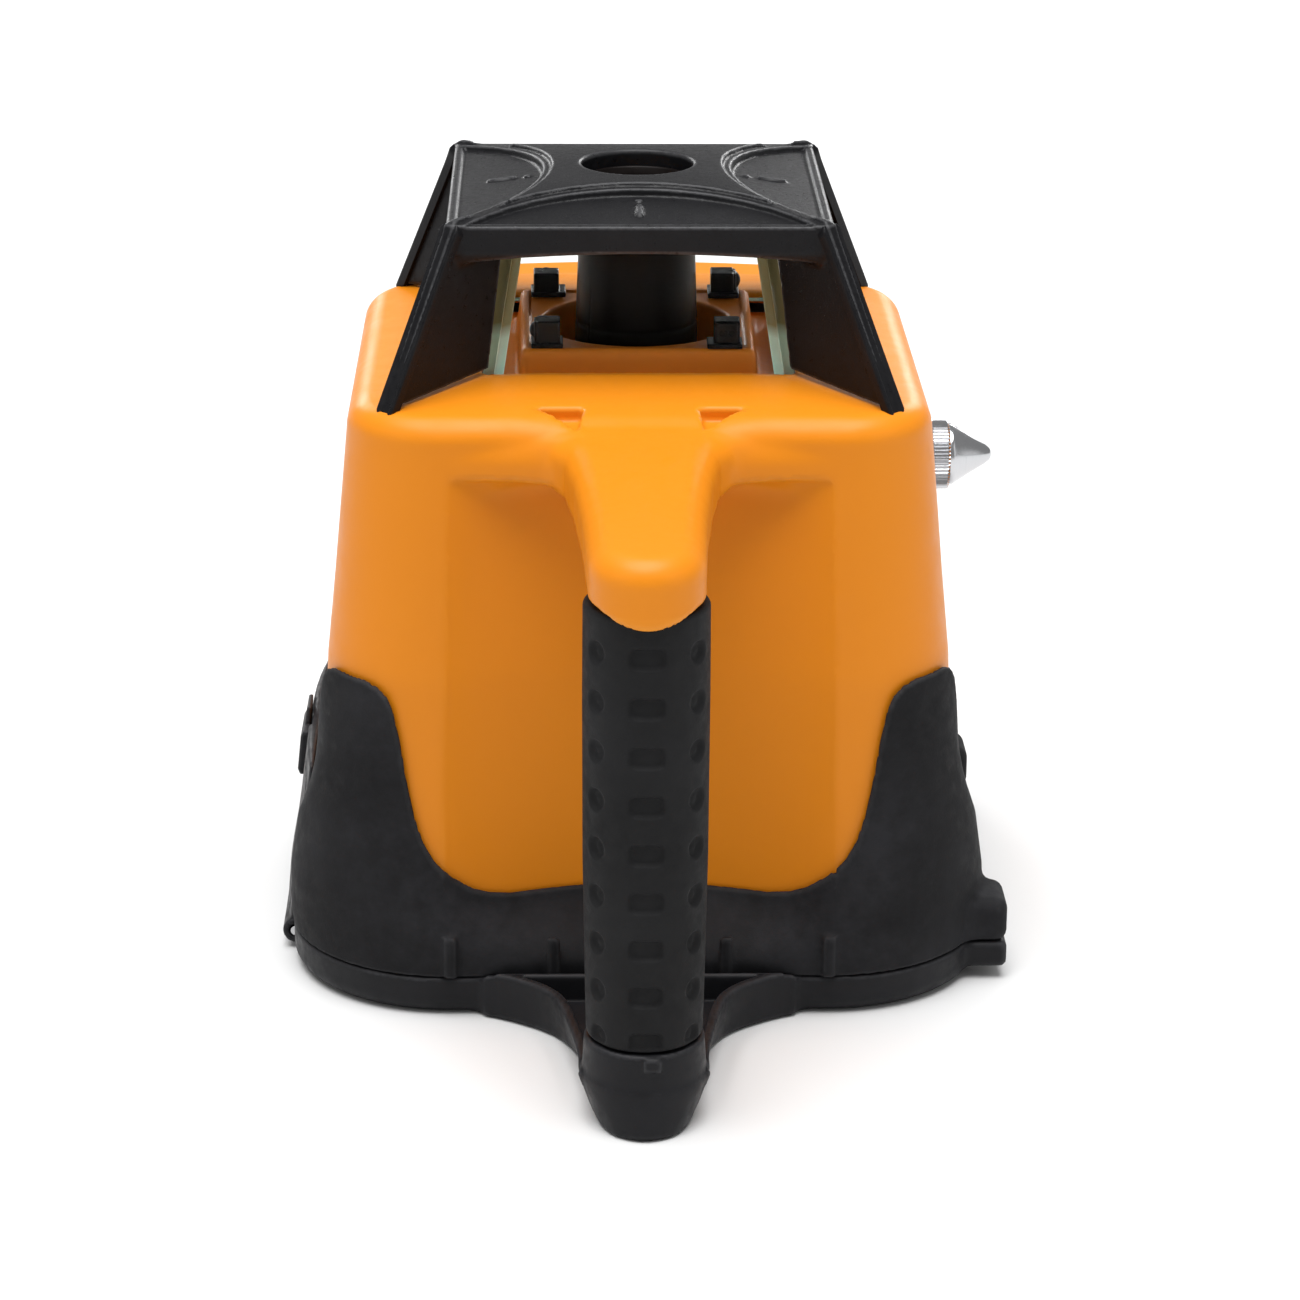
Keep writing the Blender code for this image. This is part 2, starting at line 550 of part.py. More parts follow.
BARREL_AT = pivot("gimbal_axis_y", (0, 0, PIVOT_Z))
barrel = put("laser_barrel", turned((0, 0, 0), [(11.0, 58.0), (11.0, 105.0), (13.6, 108.5), (13.6, 126.0), (26.0, 126.0), (26.0, 130.0), (11.3, 130.0),
                                               (11.3, 111.0), (8.8, 109.0), (8.8, 58.0)], 28, ring=True), "aluminium", BARREL_AT)
for s, n in ((-1, "back"), (1, "front")):
    h0, h1 = sorted((s * 25.0, s * 32.4))
    boolean(barrel, "barrel_pin_" + n, rod((0, 0, PIVOT_Z), 1.4, h0, h1, 16, "y"), "UNION")
MOTOR_Y = -20.2
boolean(barrel, "motor_shaft_hole", rod((0, MOTOR_Y, 0), 1.6, 124, 132, 16))
put("laser_module", turned((0, 0, 0), [(8.4, 60.0), (8.4, 74.0), (6.0, 76.0), (3.0, 76.0)], 18), "brass", BARREL_AT)
put("collimating_lens", turned((0, 0, 0), [(8.4, 84.0), (8.4, 85.6), (6.5, 86.9), (3.2, 87.5)], 18), "clear_glass", BARREL_AT)
put("rotor_bearing", pipe((0, 0, 0), 7.2, 11.0, 118.0, 128.6, 20), "steel", BARREL_AT)
put("level_vial_x", turned((-12.0, -15.2, 70.0), [(1.6, 0.0), (2.8, 1.4), (2.9, 12.0), (2.8, 22.6), (1.6, 24.0)], 12, "x"), "vial_green", BARREL_AT)
put("level_vial_y", turned((-15.2, -11.6, 78.0), [(1.6, 0.0), (2.8, 1.4), (2.9, 12.0), (2.8, 22.6), (1.6, 24.0)], 12, "y"), "vial_green", BARREL_AT)
boolean(barrel, "level_arm_x", block((12.6, -2.4, 117.6), (LEVER - 0.2, 2.4, 121.4)), "UNION")
boolean(barrel, "level_arm_y", block((-2.4, 12.6, 117.6), (2.4, LEVER - 0.2, 121.4)), "UNION")
put("rotor_motor", turned((0, MOTOR_Y, 0), [(5.4, 104.0), (5.4, 124.4), (2.4, 124.5), (2.4, 125.6)], 16), "steel", BARREL_AT)

# ---- levelling drives ------------------------------------------------------
SCREW_TIP = 131.5
for ax, (cx, cy) in (("x", (NUT_D, 0.0)), ("y", (0.0, NUT_D))):
    put("level_motor_" + ax, turned((cx, cy, 0), [(8.0, 62.0), (8.0, 82.0), (7.4, 82.01), (7.4, 87.4)], 18), "steel")

    def place(p, ax=ax):
        return Vector((p.x, p.y, p.z)) if ax == "x" else Vector((-p.y, p.x, p.z))
    prof = [(51.0, 133.6), (51.0, 90.0), (32.0, 90.0), (32.0, 87.8), (53.0, 87.8), (53.0, 133.6)]
    bm = bmesh.new()
    lo = [bm.verts.new(place(Vector((a, -8.0, b)))) for a, b in prof]
    hi = [bm.verts.new(place(Vector((a, 8.0, b)))) for a, b in prof]
    for k in range(6):
        bm.faces.new((lo[k], lo[(k + 1) % 6], hi[(k + 1) % 6], hi[k]))
    bm.faces.new(lo)
    bm.faces.new(hi)
    boolean(chassis, "bracket_leg_" + ax, bm, "UNION")
    boolean(chassis, "bracket_hole_" + ax, rod((cx, cy, 0), 3.0, 80, 95, 16))
    spin = pivot("screw_axis_" + ax, (cx, cy, 0))
    put("lead_screw_" + ax, turned((cx, cy, 0), [(1.4, 87.8), (2.3, 88.2), (2.3, 93.0), (1.9, 93.4), (1.9, SCREW_TIP - 1), (1.2, SCREW_TIP)], 12), "steel", spin)
    slide = pivot("nut_axis_" + ax, (cx, cy, 114.0))
    bm = block((-4.2, -4.2, 109.5), (4.2, 4.2, 120.0), bevel=0.5)
    for v in bm.verts:
        v.co = Vector((v.co.x + cx, v.co.y + cy, v.co.z))
    nut = put("level_nut_" + ax, bm, "brass", slide)
    finger = [(LEVER - 2.0, 114.0), (NUT_D - 3.0, 112.5), (NUT_D - 3.0, 117.2), (LEVER - 2.0, 117.2)]
    bm = bmesh.new()
    lo = [bm.verts.new(place(Vector((a, -2.0, b)))) for a, b in finger]
    hi = [bm.verts.new(place(Vector((a, 2.0, b)))) for a, b in finger]
    for k in range(4):
        bm.faces.new((lo[k], lo[(k + 1) % 4], hi[(k + 1) % 4], hi[k]))
    bm.faces.new(lo)
    bm.faces.new(hi)
    boolean(nut, "nut_finger_" + ax, bm, "UNION")
    boolean(nut, "nut_bore_" + ax, rod((cx, cy, 0), 2.3, 100, 126, 12))

# ---- rotor -----------------------------------------------------------------
ROTOR_AT = pivot("rotor_axis", (0, 0, 140.0))
put("rotor_shaft", turned((0, 0, 0), [(6.9, 114.0), (6.9, 130.8), (10.0, 130.81), (10.0, 134.0), (6.9, 134.01), (6.9, 141.0), (5.2, 141.0), (5.2, 114.0)], 20, ring=True), "steel", ROTOR_AT)
rotor = put("rotor_head", turned((0, 0, 0), [(14.0, 136.3), (14.3, 136.8), (14.3, 146.0), (13.8, 161.0), (13.6, 168.8), (12.6, 169.8), (6.0, 169.8), (6.0, 168.0),
                                             (11.5, 168.0), (11.9, 141.6), (7.2, 141.6), (7.2, 136.3)], 28, ring=True), "black_gloss", ROTOR_AT)
boolean(rotor, "beam_port", block((-4.6, 8.0, 150.5), (4.6, 18.0, 160.5)))
penta = [(-5.4, 143.0), (5.4, 143.0), (6.6, 153.0), (0.6, 161.0), (-6.6, 153.6)]
put("pentaprism", prism([(z, x) for x, z in penta], -4.8, 4.8, "y"), "clear_glass", ROTOR_AT)

PULLEY_AT = pivot("motor_pulley_axis", (0, MOTOR_Y, 130.0))
put("motor_pulley", turned((0, MOTOR_Y, 0), [(1.0, 126.2), (1.0, 130.9), (2.9, 130.91), (2.9, 134.0)], 14), "brass", PULLEY_AT)


def belt_loop(extra, n=28):
    """Convex loop round both pulleys, extra millimetres off them."""
    r1, r2, d = 10.0 + extra, 2.9 + extra, -MOTOR_Y
    beta = (r1 - r2) / d
    b = asin(beta)
    pts = []
    half = n // 2
    for k in range(half + 1):
        a = -b + (pi + 2 * b) * k / half
        pts.append((r1 * cos(a), r1 * sin(a)))
    for k in range(half + 1):
        a = pi + b + (pi - 2 * b) * k / half
        pts.append((r2 * cos(a), MOTOR_Y + r2 * sin(a)))
    return pts


put("drive_belt", loft([[(x, y, z) for x, y in belt_loop(e)] for e, z in ((0.4, 131.2), (1.2, 131.2), (1.2, 133.6), (0.4, 133.6))], closed=True), "black_rubber", BARREL_AT)

# ---- battery side ----------------------------------------------------------
tray = put("battery_tray", block((-70.6, -36.6, 5.2), (-13.2, 36.6, 44.8), bevel=0.8), "black_abs")
CELLS = {"cell_front": 17.7, "cell_back": -17.7}
bm = bmesh.new()
for y in CELLS.values():
    rod((0, y, 24.6), 17.2, -80.0, -15.4, 24, "x", bm=bm)
boolean(tray, "cell_bores", bm)
boolean(tray, "bridge_slot", block((-15.7, -30.4, 18.2), (-14.5, 30.4, 31.0)))
for n, y in CELLS.items():
    put(n, turned((0, y, 24.6), [(4.6, -76.2), (4.6, -75.2), (5.4, -75.1), (15.6, -75.0), (16.4, -74.4), (16.4, -20.6), (15.6, -20.0)], 24, "x"), "cell_wrap")
bridge = put("contact_bridge", block((-15.2, -30.0, 18.6), (-14.9, 30.0, 30.6)), "steel")
bm = bmesh.new()
for y in CELLS.values():
    turned((0, y, 24.6), [(2.2, -19.4), (2.6, -19.2), (5.2, -15.1)], 12, "x", bm=bm)
boolean(bridge, "contact_domes", bm, "UNION")

DOOR_AT = pivot("battery_door_axis", (HINGE_X, 0, HINGE_Z))
# height: outer distance from the axis at mid width
DOOR = [(8.0, 85.6), (15.0, 84.9), (23.0, 83.4), (31.0, 82.2), (40.0, 81.0), (47.4, 80.0)]
rings = []
DOOR_W = 37.9
for z, d in [(4.5, 85.75)] + DOOR:
    ring = []
    for k in range(9):
        y = -DOOR_W + 2 * DOOR_W * k / 8
        fall = 2.0 * abs(y / DOOR_W) ** 3
        ring.append((-(d - fall), y, z))
    inner = max(79.0 - (z - 8.0) * 0.04, 76.2)
    if z == 4.5:
        inner = 79.4
    ring += [(-inner, y, z) for y in (DOOR_W, 0.0, -DOOR_W)]
    rings.append(ring)
door = put("battery_door", loft(rings), "black_abs", DOOR_AT)
boolean(door, "door_knuckle", rod((HINGE_X, 0, HINGE_Z), 3.1, -DOOR_W, DOOR_W, 20, "y"), "UNION")
boolean(door, "door_pin_bore", rod((HINGE_X, 0, HINGE_Z), 1.55, -40, 40, 16, "y"))
put("door_hinge_pin", rod((HINGE_X, 0, HINGE_Z), 1.2, -37.9, 37.9, 12, "y"), "steel")
LATCH_AT = pivot("door_latch_axis", (-82.0, 0, 40.0))
latch_bm = bmesh.new()
lz = [(33.6, 83.6, 82.4), (35.0, 84.4, 82.2), (43.5, 83.4, 81.1), (45.0, 82.4, 80.9), (49.8, 81.6, 80.6)]
rings = []
for z, d0, d1 in lz:
    w = 8.5 if z < 46 else 5.0
    rings.append([(-d0, -w, z), (-d0, w, z), (-d1, w, z), (-d1, -w, z)])
put("door_latch", loft(rings), "black_abs", LATCH_AT)

# ---- adjusting foot --------------------------------------------------------
put("foot_insert", pipe((0, 0, FOOT_Z), 3.2, 5.6, 58.0, 68.9, 20, "x"), "brass")
SLIDE_AT = pivot("foot_slide_axis", (70.0, 0, FOOT_Z))
put("foot_washer", pipe((0, 0, FOOT_Z), 3.2, 7.4, 70.3, 71.0, 20, "x"), "grey_abs", SLIDE_AT)
TURN_AT = pivot("foot_turn_axis", (72.0, 0, FOOT_Z))
put("cone_foot", turned((0, 0, FOOT_Z), [(2.2, 55.0), (2.8, 56.0), (2.8, 71.2), (8.1, 71.21), (8.5, 71.6), (8.5, 75.4), (8.1, 75.8), (7.5, 75.81),
                                         (7.5, 76.8), (2.2, 85.2), (1.4, 86.0), (0.6, 86.3)], 24, "x"), "chrome", TURN_AT)

# ---- keypad ----------------------------------------------------------------
bezel = put("keypad_bezel", block((-32.0, -17.0, -2.4), (32.0, 17.0, 0.9), bevel=0.5, frame=key_frame), "black_abs")
BUTTONS = {"button_power": (0.0, -5.5, 6.0), "button_slope": (-14.6, -5.5, 4.8), "button_speed": (14.6, -5.5, 4.8),
           "button_tilt": (25.6, 6.0, 4.4)}
LENSES = (-9.0, 0.0, 9.0)
bm = bmesh.new()
for x, y, r in BUTTONS.values():
    rod(key_frame(Vector((x, y, 0))), r + 0.45, -4, 4, 18, KEY_AXES, bm=bm)
for x in LENSES:
    rod(key_frame(Vector((x, 9.0, 0))), 1.9, -4, 4, 12, KEY_AXES, bm=bm)
boolean(bezel, "key_holes", bm)
for n, (x, y, r) in BUTTONS.items():
    p = key_frame(Vector((x, y, 0)))
    at = pivot(n + "_axis", tuple(p))
    put(n, turned(p, [(r, -3.6), (r, 1.6), (r - 0.7, 2.2), (r * 0.5, 2.0)], 18, KEY_AXES), "grey_abs", at)
lamps = put("lamp_strip", block((-11.5, 7.2, -4.6), (11.5, 10.8, -2.8), frame=key_frame), "red_lens")
bm = bmesh.new()
for x in LENSES:
    turned(key_frame(Vector((x, 9.0, 0))), [(1.5, -3.6), (1.5, 0.9), (0.9, 1.4)], 10, KEY_AXES, bm=bm)
boolean(lamps, "lamp_pips", bm, "UNION")
put("main_board", block((-38.0, 58.6, 66.0), (38.0, 60.2, 116.0)), "board_green")
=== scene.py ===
"""Looks of the rotary laser level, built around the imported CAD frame.

Lengths are millimetres in the instrument's own axes (x = y = 0 on the rotor's
axis, z = 0 under the base, handle to -Y, keypad to +Y) until emit() turns them
into metres in the row frame.
"""
from math import asin, atan2, ceil, cos, pi, radians, sin, sqrt

import bpy
import bmesh
import numpy as np
from mathutils import Matrix, Vector


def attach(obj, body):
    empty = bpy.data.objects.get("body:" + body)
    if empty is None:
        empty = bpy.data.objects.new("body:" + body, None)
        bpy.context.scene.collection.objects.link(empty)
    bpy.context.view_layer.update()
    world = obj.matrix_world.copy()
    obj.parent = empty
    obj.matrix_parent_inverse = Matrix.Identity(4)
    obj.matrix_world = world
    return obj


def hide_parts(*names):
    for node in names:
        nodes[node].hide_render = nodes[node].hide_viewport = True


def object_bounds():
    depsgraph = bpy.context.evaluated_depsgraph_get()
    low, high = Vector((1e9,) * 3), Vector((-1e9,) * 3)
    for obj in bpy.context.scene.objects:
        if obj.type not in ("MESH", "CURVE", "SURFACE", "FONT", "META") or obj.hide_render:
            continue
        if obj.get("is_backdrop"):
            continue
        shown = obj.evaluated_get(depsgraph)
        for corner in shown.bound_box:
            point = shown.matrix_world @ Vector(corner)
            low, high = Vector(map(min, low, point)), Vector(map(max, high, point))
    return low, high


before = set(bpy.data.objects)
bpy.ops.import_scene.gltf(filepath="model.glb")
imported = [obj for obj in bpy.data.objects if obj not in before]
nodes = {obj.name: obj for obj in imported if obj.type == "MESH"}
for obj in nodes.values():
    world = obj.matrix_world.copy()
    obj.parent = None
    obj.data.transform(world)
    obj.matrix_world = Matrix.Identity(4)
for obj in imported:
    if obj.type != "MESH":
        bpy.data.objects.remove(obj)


def plain(b):
    if isinstance(b, dict):
        return {k: plain(v) for k, v in b.items()}
    try:
        return float(b)
    except (TypeError, ValueError):
        return [plain(v) for v in b]


size_before = plain(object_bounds())
OX, OY = 1.125, -33.2113

# ============================================================ materials
def nodes_of(name):
    m = bpy.data.materials.new(name)
    m.use_nodes = True
    return m, m.node_tree, m.node_tree.nodes["Principled BSDF"]


def add(t, kind, **values):
    n = t.nodes.new(kind)
    for k, v in values.items():
        if k in n.inputs:
            n.inputs[k].default_value = v
        else:
            setattr(n, k, v)
    return n


def moulded(name, colour, rough, metal=0.0, grain=0.0, grain_scale=1500.0, mottle=0.0, mottle_colour=None, mottle_scale=28.0,
            wear_and_sheen=0.0, wear_and_sheen_colour=None, spec=0.5, rough_spread=0.12, coat=0.0, streak=None, waves=0.0, sub=0.0):
    """A moulded, cast or turned surface: blotches, uneven gloss, fine grain and paler edges, partly worn and partly a
    painted edge highlight.
    """
    m, t, b = nodes_of(name)
    L = t.links.new
    co = add(t, "ShaderNodeTexCoord")
    big = add(t, "ShaderNodeTexNoise", Scale=mottle_scale, Detail=5.0, Roughness=0.6)
    small = add(t, "ShaderNodeTexNoise", Scale=grain_scale, Detail=3.0, Roughness=0.55)
    mid = add(t, "ShaderNodeTexNoise", Scale=mottle_scale * 7.0, Detail=4.0, Roughness=0.65)
    src = co.outputs["Object"]
    if streak:
        mp = add(t, "ShaderNodeMapping")
        mp.inputs["Scale"].default_value = streak
        L(src, mp.inputs["Vector"])
        src = mp.outputs["Vector"]
    L(co.outputs["Object"], big.inputs["Vector"])
    L(src, small.inputs["Vector"])
    L(src, mid.inputs["Vector"])
    ramp = add(t, "ShaderNodeMapRange")
    ramp.inputs["From Min"].default_value, ramp.inputs["From Max"].default_value = 0.42, 0.72
    prod = add(t, "ShaderNodeMath", operation="MULTIPLY")
    L(big.outputs["Fac"], prod.inputs[0])
    mid2 = add(t, "ShaderNodeMath", operation="ADD")
    mid2.inputs[1].default_value = 0.5
    L(mid.outputs["Fac"], mid2.inputs[0])
    L(mid2.outputs[0], prod.inputs[1])
    L(prod.outputs[0], ramp.inputs["Value"])
    amount = add(t, "ShaderNodeMath", operation="MULTIPLY")
    amount.inputs[1].default_value = mottle
    L(ramp.outputs["Result"], amount.inputs[0])
    mix = add(t, "ShaderNodeMix", data_type="RGBA")
    mix.inputs["A"].default_value = (*colour, 1)
    mix.inputs["B"].default_value = (*(mottle_colour or [min(1.0, c * 1.15) for c in colour]), 1)
    mix.inputs[6].default_value = (*colour, 1)
    mix.inputs[7].default_value = (*(mottle_colour or [min(1.0, c * 1.15) for c in colour]), 1)
    L(amount.outputs[0], mix.inputs["Factor"])
    out = mix.outputs[2]
    # paler edges where the surface bends: partly wear, partly a painted edge highlight
    if wear_and_sheen:
        geo = add(t, "ShaderNodeAttribute", attribute_name="edge")
        edge = add(t, "ShaderNodeMapRange")
        edge.inputs["From Min"].default_value, edge.inputs["From Max"].default_value = 0.25, 0.95
        edge.inputs["To Max"].default_value = wear_and_sheen
        L(geo.outputs["Fac"], edge.inputs["Value"])
        patch = add(t, "ShaderNodeMath", operation="MULTIPLY")
        L(edge.outputs["Result"], patch.inputs[0])
        L(mid.outputs["Fac"], patch.inputs[1])
        mix2 = add(t, "ShaderNodeMix", data_type="RGBA")
        L(patch.outputs[0], mix2.inputs["Factor"])
        L(out, mix2.inputs[6])
        mix2.inputs[7].default_value = (*(wear_and_sheen_colour or [min(1.0, c * 1.5 + 0.05) for c in colour]), 1)
        out = mix2.outputs[2]
    L(out, b.inputs["Base Color"])
    rr = add(t, "ShaderNodeMapRange")
    rr.inputs["To Min"].default_value = max(0.02, rough - rough_spread)
    rr.inputs["To Max"].default_value = min(1.0, rough + rough_spread)
    rr.inputs["From Min"].default_value, rr.inputs["From Max"].default_value = 0.3, 0.7
    L(mid.outputs["Fac"], rr.inputs["Value"])
    L(rr.outputs["Result"], b.inputs["Roughness"])
    b.inputs["Metallic"].default_value = metal
    b.inputs["Specular IOR Level"].default_value = spec
    b.inputs["Coat Weight"].default_value = coat
    if sub:
        b.inputs["Subsurface Weight"].default_value = sub
        b.inputs["Subsurface Radius"].default_value = (0.002, 0.001, 0.0004)
        b.inputs["Subsurface Scale"].default_value = 1.0
    if grain or waves:
        bump = add(t, "ShaderNodeBump", Strength=1.0)
        bump.inputs["Distance"].default_value = 0.001
        hgt = add(t, "ShaderNodeMath", operation="MULTIPLY")
        hgt.inputs[1].default_value = grain
        L(small.outputs["Fac"], hgt.inputs[0])
        hs = hgt.outputs[0]
        if waves:
            wn = add(t, "ShaderNodeMath", operation="MULTIPLY_ADD")
            wn.inputs[1].default_value = waves
            L(big.outputs["Fac"], wn.inputs[0])
            L(hs, wn.inputs[2])
            hs = wn.outputs[0]
        L(hs, bump.inputs["Height"])
        L(bump.outputs["Normal"], b.inputs["Normal"])
    return m


def glass(name, colour, rough=0.02, ior=1.5, absorb=None, weight=1.0):
    m, t, b = nodes_of(name)
    L = t.links.new
    co = add(t, "ShaderNodeTexCoord")
    n = add(t, "ShaderNodeTexNoise", Scale=60.0, Detail=4.0)
    L(co.outputs["Object"], n.inputs["Vector"])
    rr = add(t, "ShaderNodeMapRange")
    rr.inputs["To Min"].default_value, rr.inputs["To Max"].default_value = 0.0, rough
    L(n.outputs["Fac"], rr.inputs["Value"])
    L(rr.outputs["Result"], b.inputs["Roughness"])
    b.inputs["Base Color"].default_value = (*colour, 1)
    b.inputs["Transmission Weight"].default_value = weight
    b.inputs["IOR"].default_value = ior
    return m


# the edge tint (wear_and_sheen) paints paler edges: partly rubbing wear, partly a painted edge highlight (near white on
# chrome, grey lips on the cage)
M = {
    "orange_abs": moulded("orange_abs", (0.715, 0.226, 0.0080), 0.40, grain=0.020, grain_scale=2600, mottle=0.25, mottle_colour=(0.695, 0.214, 0.0080), wear_and_sheen=0.35,
                          wear_and_sheen_colour=(0.95, 0.42, 0.06), waves=0.10, spec=0.20, rough_spread=0.06, mottle_scale=24),
    "orange_deck": moulded("orange_deck", (0.95, 0.27, 0.022), 0.42, grain=0.020, grain_scale=2600, mottle=0.25, mottle_colour=(0.92, 0.25, 0.018), wear_and_sheen=0.35,
                           wear_and_sheen_colour=(0.98, 0.42, 0.08), waves=0.10, spec=0.25, rough_spread=0.06, mottle_scale=40),
    "black_rubber": moulded("black_rubber", (0.0105, 0.0105, 0.0115), 0.72, grain=0.05, grain_scale=1900, mottle=0.5, mottle_colour=(0.032, 0.032, 0.036), wear_and_sheen=0.5,
                            wear_and_sheen_colour=(0.06, 0.06, 0.063), spec=0.12, waves=0.12, mottle_scale=34),
    "grip_rubber": moulded("grip_rubber", (0.0110, 0.0110, 0.0115), 0.66, grain=0.05, grain_scale=2200, mottle=0.25, mottle_colour=(0.026, 0.026, 0.028), wear_and_sheen=0.5,
                           wear_and_sheen_colour=(0.05, 0.05, 0.052), spec=0.13, mottle_scale=40),
    "black_abs": moulded("black_abs", (0.0100, 0.0100, 0.0113), 0.48, grain=0.035, grain_scale=3000, mottle=0.35, mottle_colour=(0.022, 0.022, 0.026), wear_and_sheen=0.6,
                         wear_and_sheen_colour=(0.07, 0.07, 0.075), spec=0.16, mottle_scale=40),
    "cage_black": moulded("cage_black", (0.0058, 0.0058, 0.0068), 0.36, grain=0.06, grain_scale=2600, mottle=0.2, mottle_colour=(0.020, 0.020, 0.022), wear_and_sheen=0.9,
                         wear_and_sheen_colour=(0.10, 0.10, 0.105), spec=0.16, mottle_scale=90),
    "rotor_black": moulded("rotor_black", (0.0040, 0.0027, 0.0025), 0.32, grain=0.006, grain_scale=1200, mottle=0.3, mottle_colour=(0.008, 0.005, 0.004), spec=0.08,
                           rough_spread=0.06, streak=(1, 1, 0.05), wear_and_sheen=0.3, wear_and_sheen_colour=(0.05, 0.04, 0.04)),
    "sensor_black": moulded("sensor_black", (0.006, 0.006, 0.007), 0.34, grain=0.02, grain_scale=2800, mottle=0.3, mottle_colour=(0.010, 0.010, 0.012), spec=0.14, wear_and_sheen=0.4,
                            wear_and_sheen_colour=(0.04, 0.04, 0.042)),
    "mint_glass": glass("mint_glass", (0.975, 0.995, 0.985), 0.003, 1.06),
    "glass_edge": moulded("glass_edge", (0.66, 0.92, 0.79), 0.16, grain=0.02, grain_scale=900, mottle=0.4, mottle_colour=(0.72, 0.95, 0.84), spec=0.5),
    "clear_glass": glass("clear_glass", (0.96, 0.98, 0.98), 0.02, 1.5),
    "red_lens": glass("red_lens", (0.55, 0.02, 0.02), 0.08, 1.45, weight=0.55),
    "steel": moulded("steel", (0.56, 0.56, 0.57), 0.30, 1.0, grain=0.010, grain_scale=2400, mottle=0.3, mottle_colour=(0.44, 0.44, 0.45), streak=(1, 1, 0.2), wear_and_sheen=0.2, spec=0.5),
    "chrome": moulded("chrome", (0.58, 0.585, 0.60), 0.18, 1.0, grain=0.006, grain_scale=1400, mottle=0.25, mottle_colour=(0.48, 0.48, 0.50), streak=(14, 1, 1), wear_and_sheen=0.3,
                      wear_and_sheen_colour=(0.9, 0.9, 0.92), rough_spread=0.06),
    "brass": moulded("brass", (0.66, 0.46, 0.19), 0.30, 1.0, grain=0.012, grain_scale=2400, mottle=0.5, mottle_colour=(0.48, 0.32, 0.13), wear_and_sheen=0.4, wear_and_sheen_colour=(0.85, 0.66, 0.36)),
    "aluminium": moulded("aluminium", (0.58, 0.59, 0.61), 0.40, 1.0, grain=0.020, grain_scale=3200, mottle=0.3, mottle_colour=(0.48, 0.49, 0.5), streak=(1, 8, 8), wear_and_sheen=0.3),
    "grey_plastic": moulded("grey_plastic", (0.10, 0.10, 0.105), 0.5, grain=0.03, grain_scale=2600, mottle=0.3, wear_and_sheen=0.5),
    "key_grey": moulded("key_grey", (0.20, 0.20, 0.21), 0.55, grain=0.03, grain_scale=2600, mottle=0.25, wear_and_sheen=0.4, wear_and_sheen_colour=(0.34, 0.34, 0.35)),
    "icon_white": moulded("icon_white", (0.62, 0.62, 0.60), 0.5, grain=0.01, grain_scale=2600, mottle=0.2, mottle_colour=(0.5, 0.5, 0.48)),
    "cell_wrap": moulded("cell_wrap", (0.05, 0.055, 0.065), 0.30, grain=0.01, grain_scale=1200, mottle=0.3, mottle_colour=(0.09, 0.09, 0.10), coat=0.4, wear_and_sheen=0.4),
    "board_green": moulded("board_green", (0.012, 0.11, 0.04), 0.4, grain=0.015, grain_scale=1400, mottle=0.4, mottle_colour=(0.03, 0.18, 0.07), mottle_scale=120, wear_and_sheen=0.4),
    "vial_green": glass("vial_green", (0.66, 0.90, 0.18), 0.03, 1.45, weight=0.8),
}

# glass edges: their own mint tint below the deck's height, and olive above it as a painted reflection of the deck edge
t = M["glass_edge"].node_tree
b = t.nodes["Principled BSDF"]
low = b.inputs["Base Color"].links[0].from_socket
co = add(t, "ShaderNodeTexCoord")
sep = add(t, "ShaderNodeSeparateXYZ")
t.links.new(co.outputs["Object"], sep.inputs[0])
deck_reflection_fade = add(t, "ShaderNodeMapRange")
deck_reflection_fade.inputs["From Min"].default_value, deck_reflection_fade.inputs["From Max"].default_value = 0.1515, 0.1545
t.links.new(sep.outputs["Z"], deck_reflection_fade.inputs["Value"])
mix = add(t, "ShaderNodeMix", data_type="RGBA")
t.links.new(deck_reflection_fade.outputs["Result"], mix.inputs["Factor"])
t.links.new(low, mix.inputs[6])
# olive: painted reflection of the deck edge
mix.inputs[7].default_value = (0.30, 0.29, 0.15, 1)
t.links.new(mix.outputs[2], b.inputs["Base Color"])

# ============================================================ mesh helpers
def to_world(v):
    v = np.asarray(v, float)
    out = np.empty_like(v)
    out[:, 0] = (v[:, 0] - OX) * 0.001
    out[:, 1] = (v[:, 1] - OY) * 0.001
    out[:, 2] = v[:, 2] * 0.001
    return out


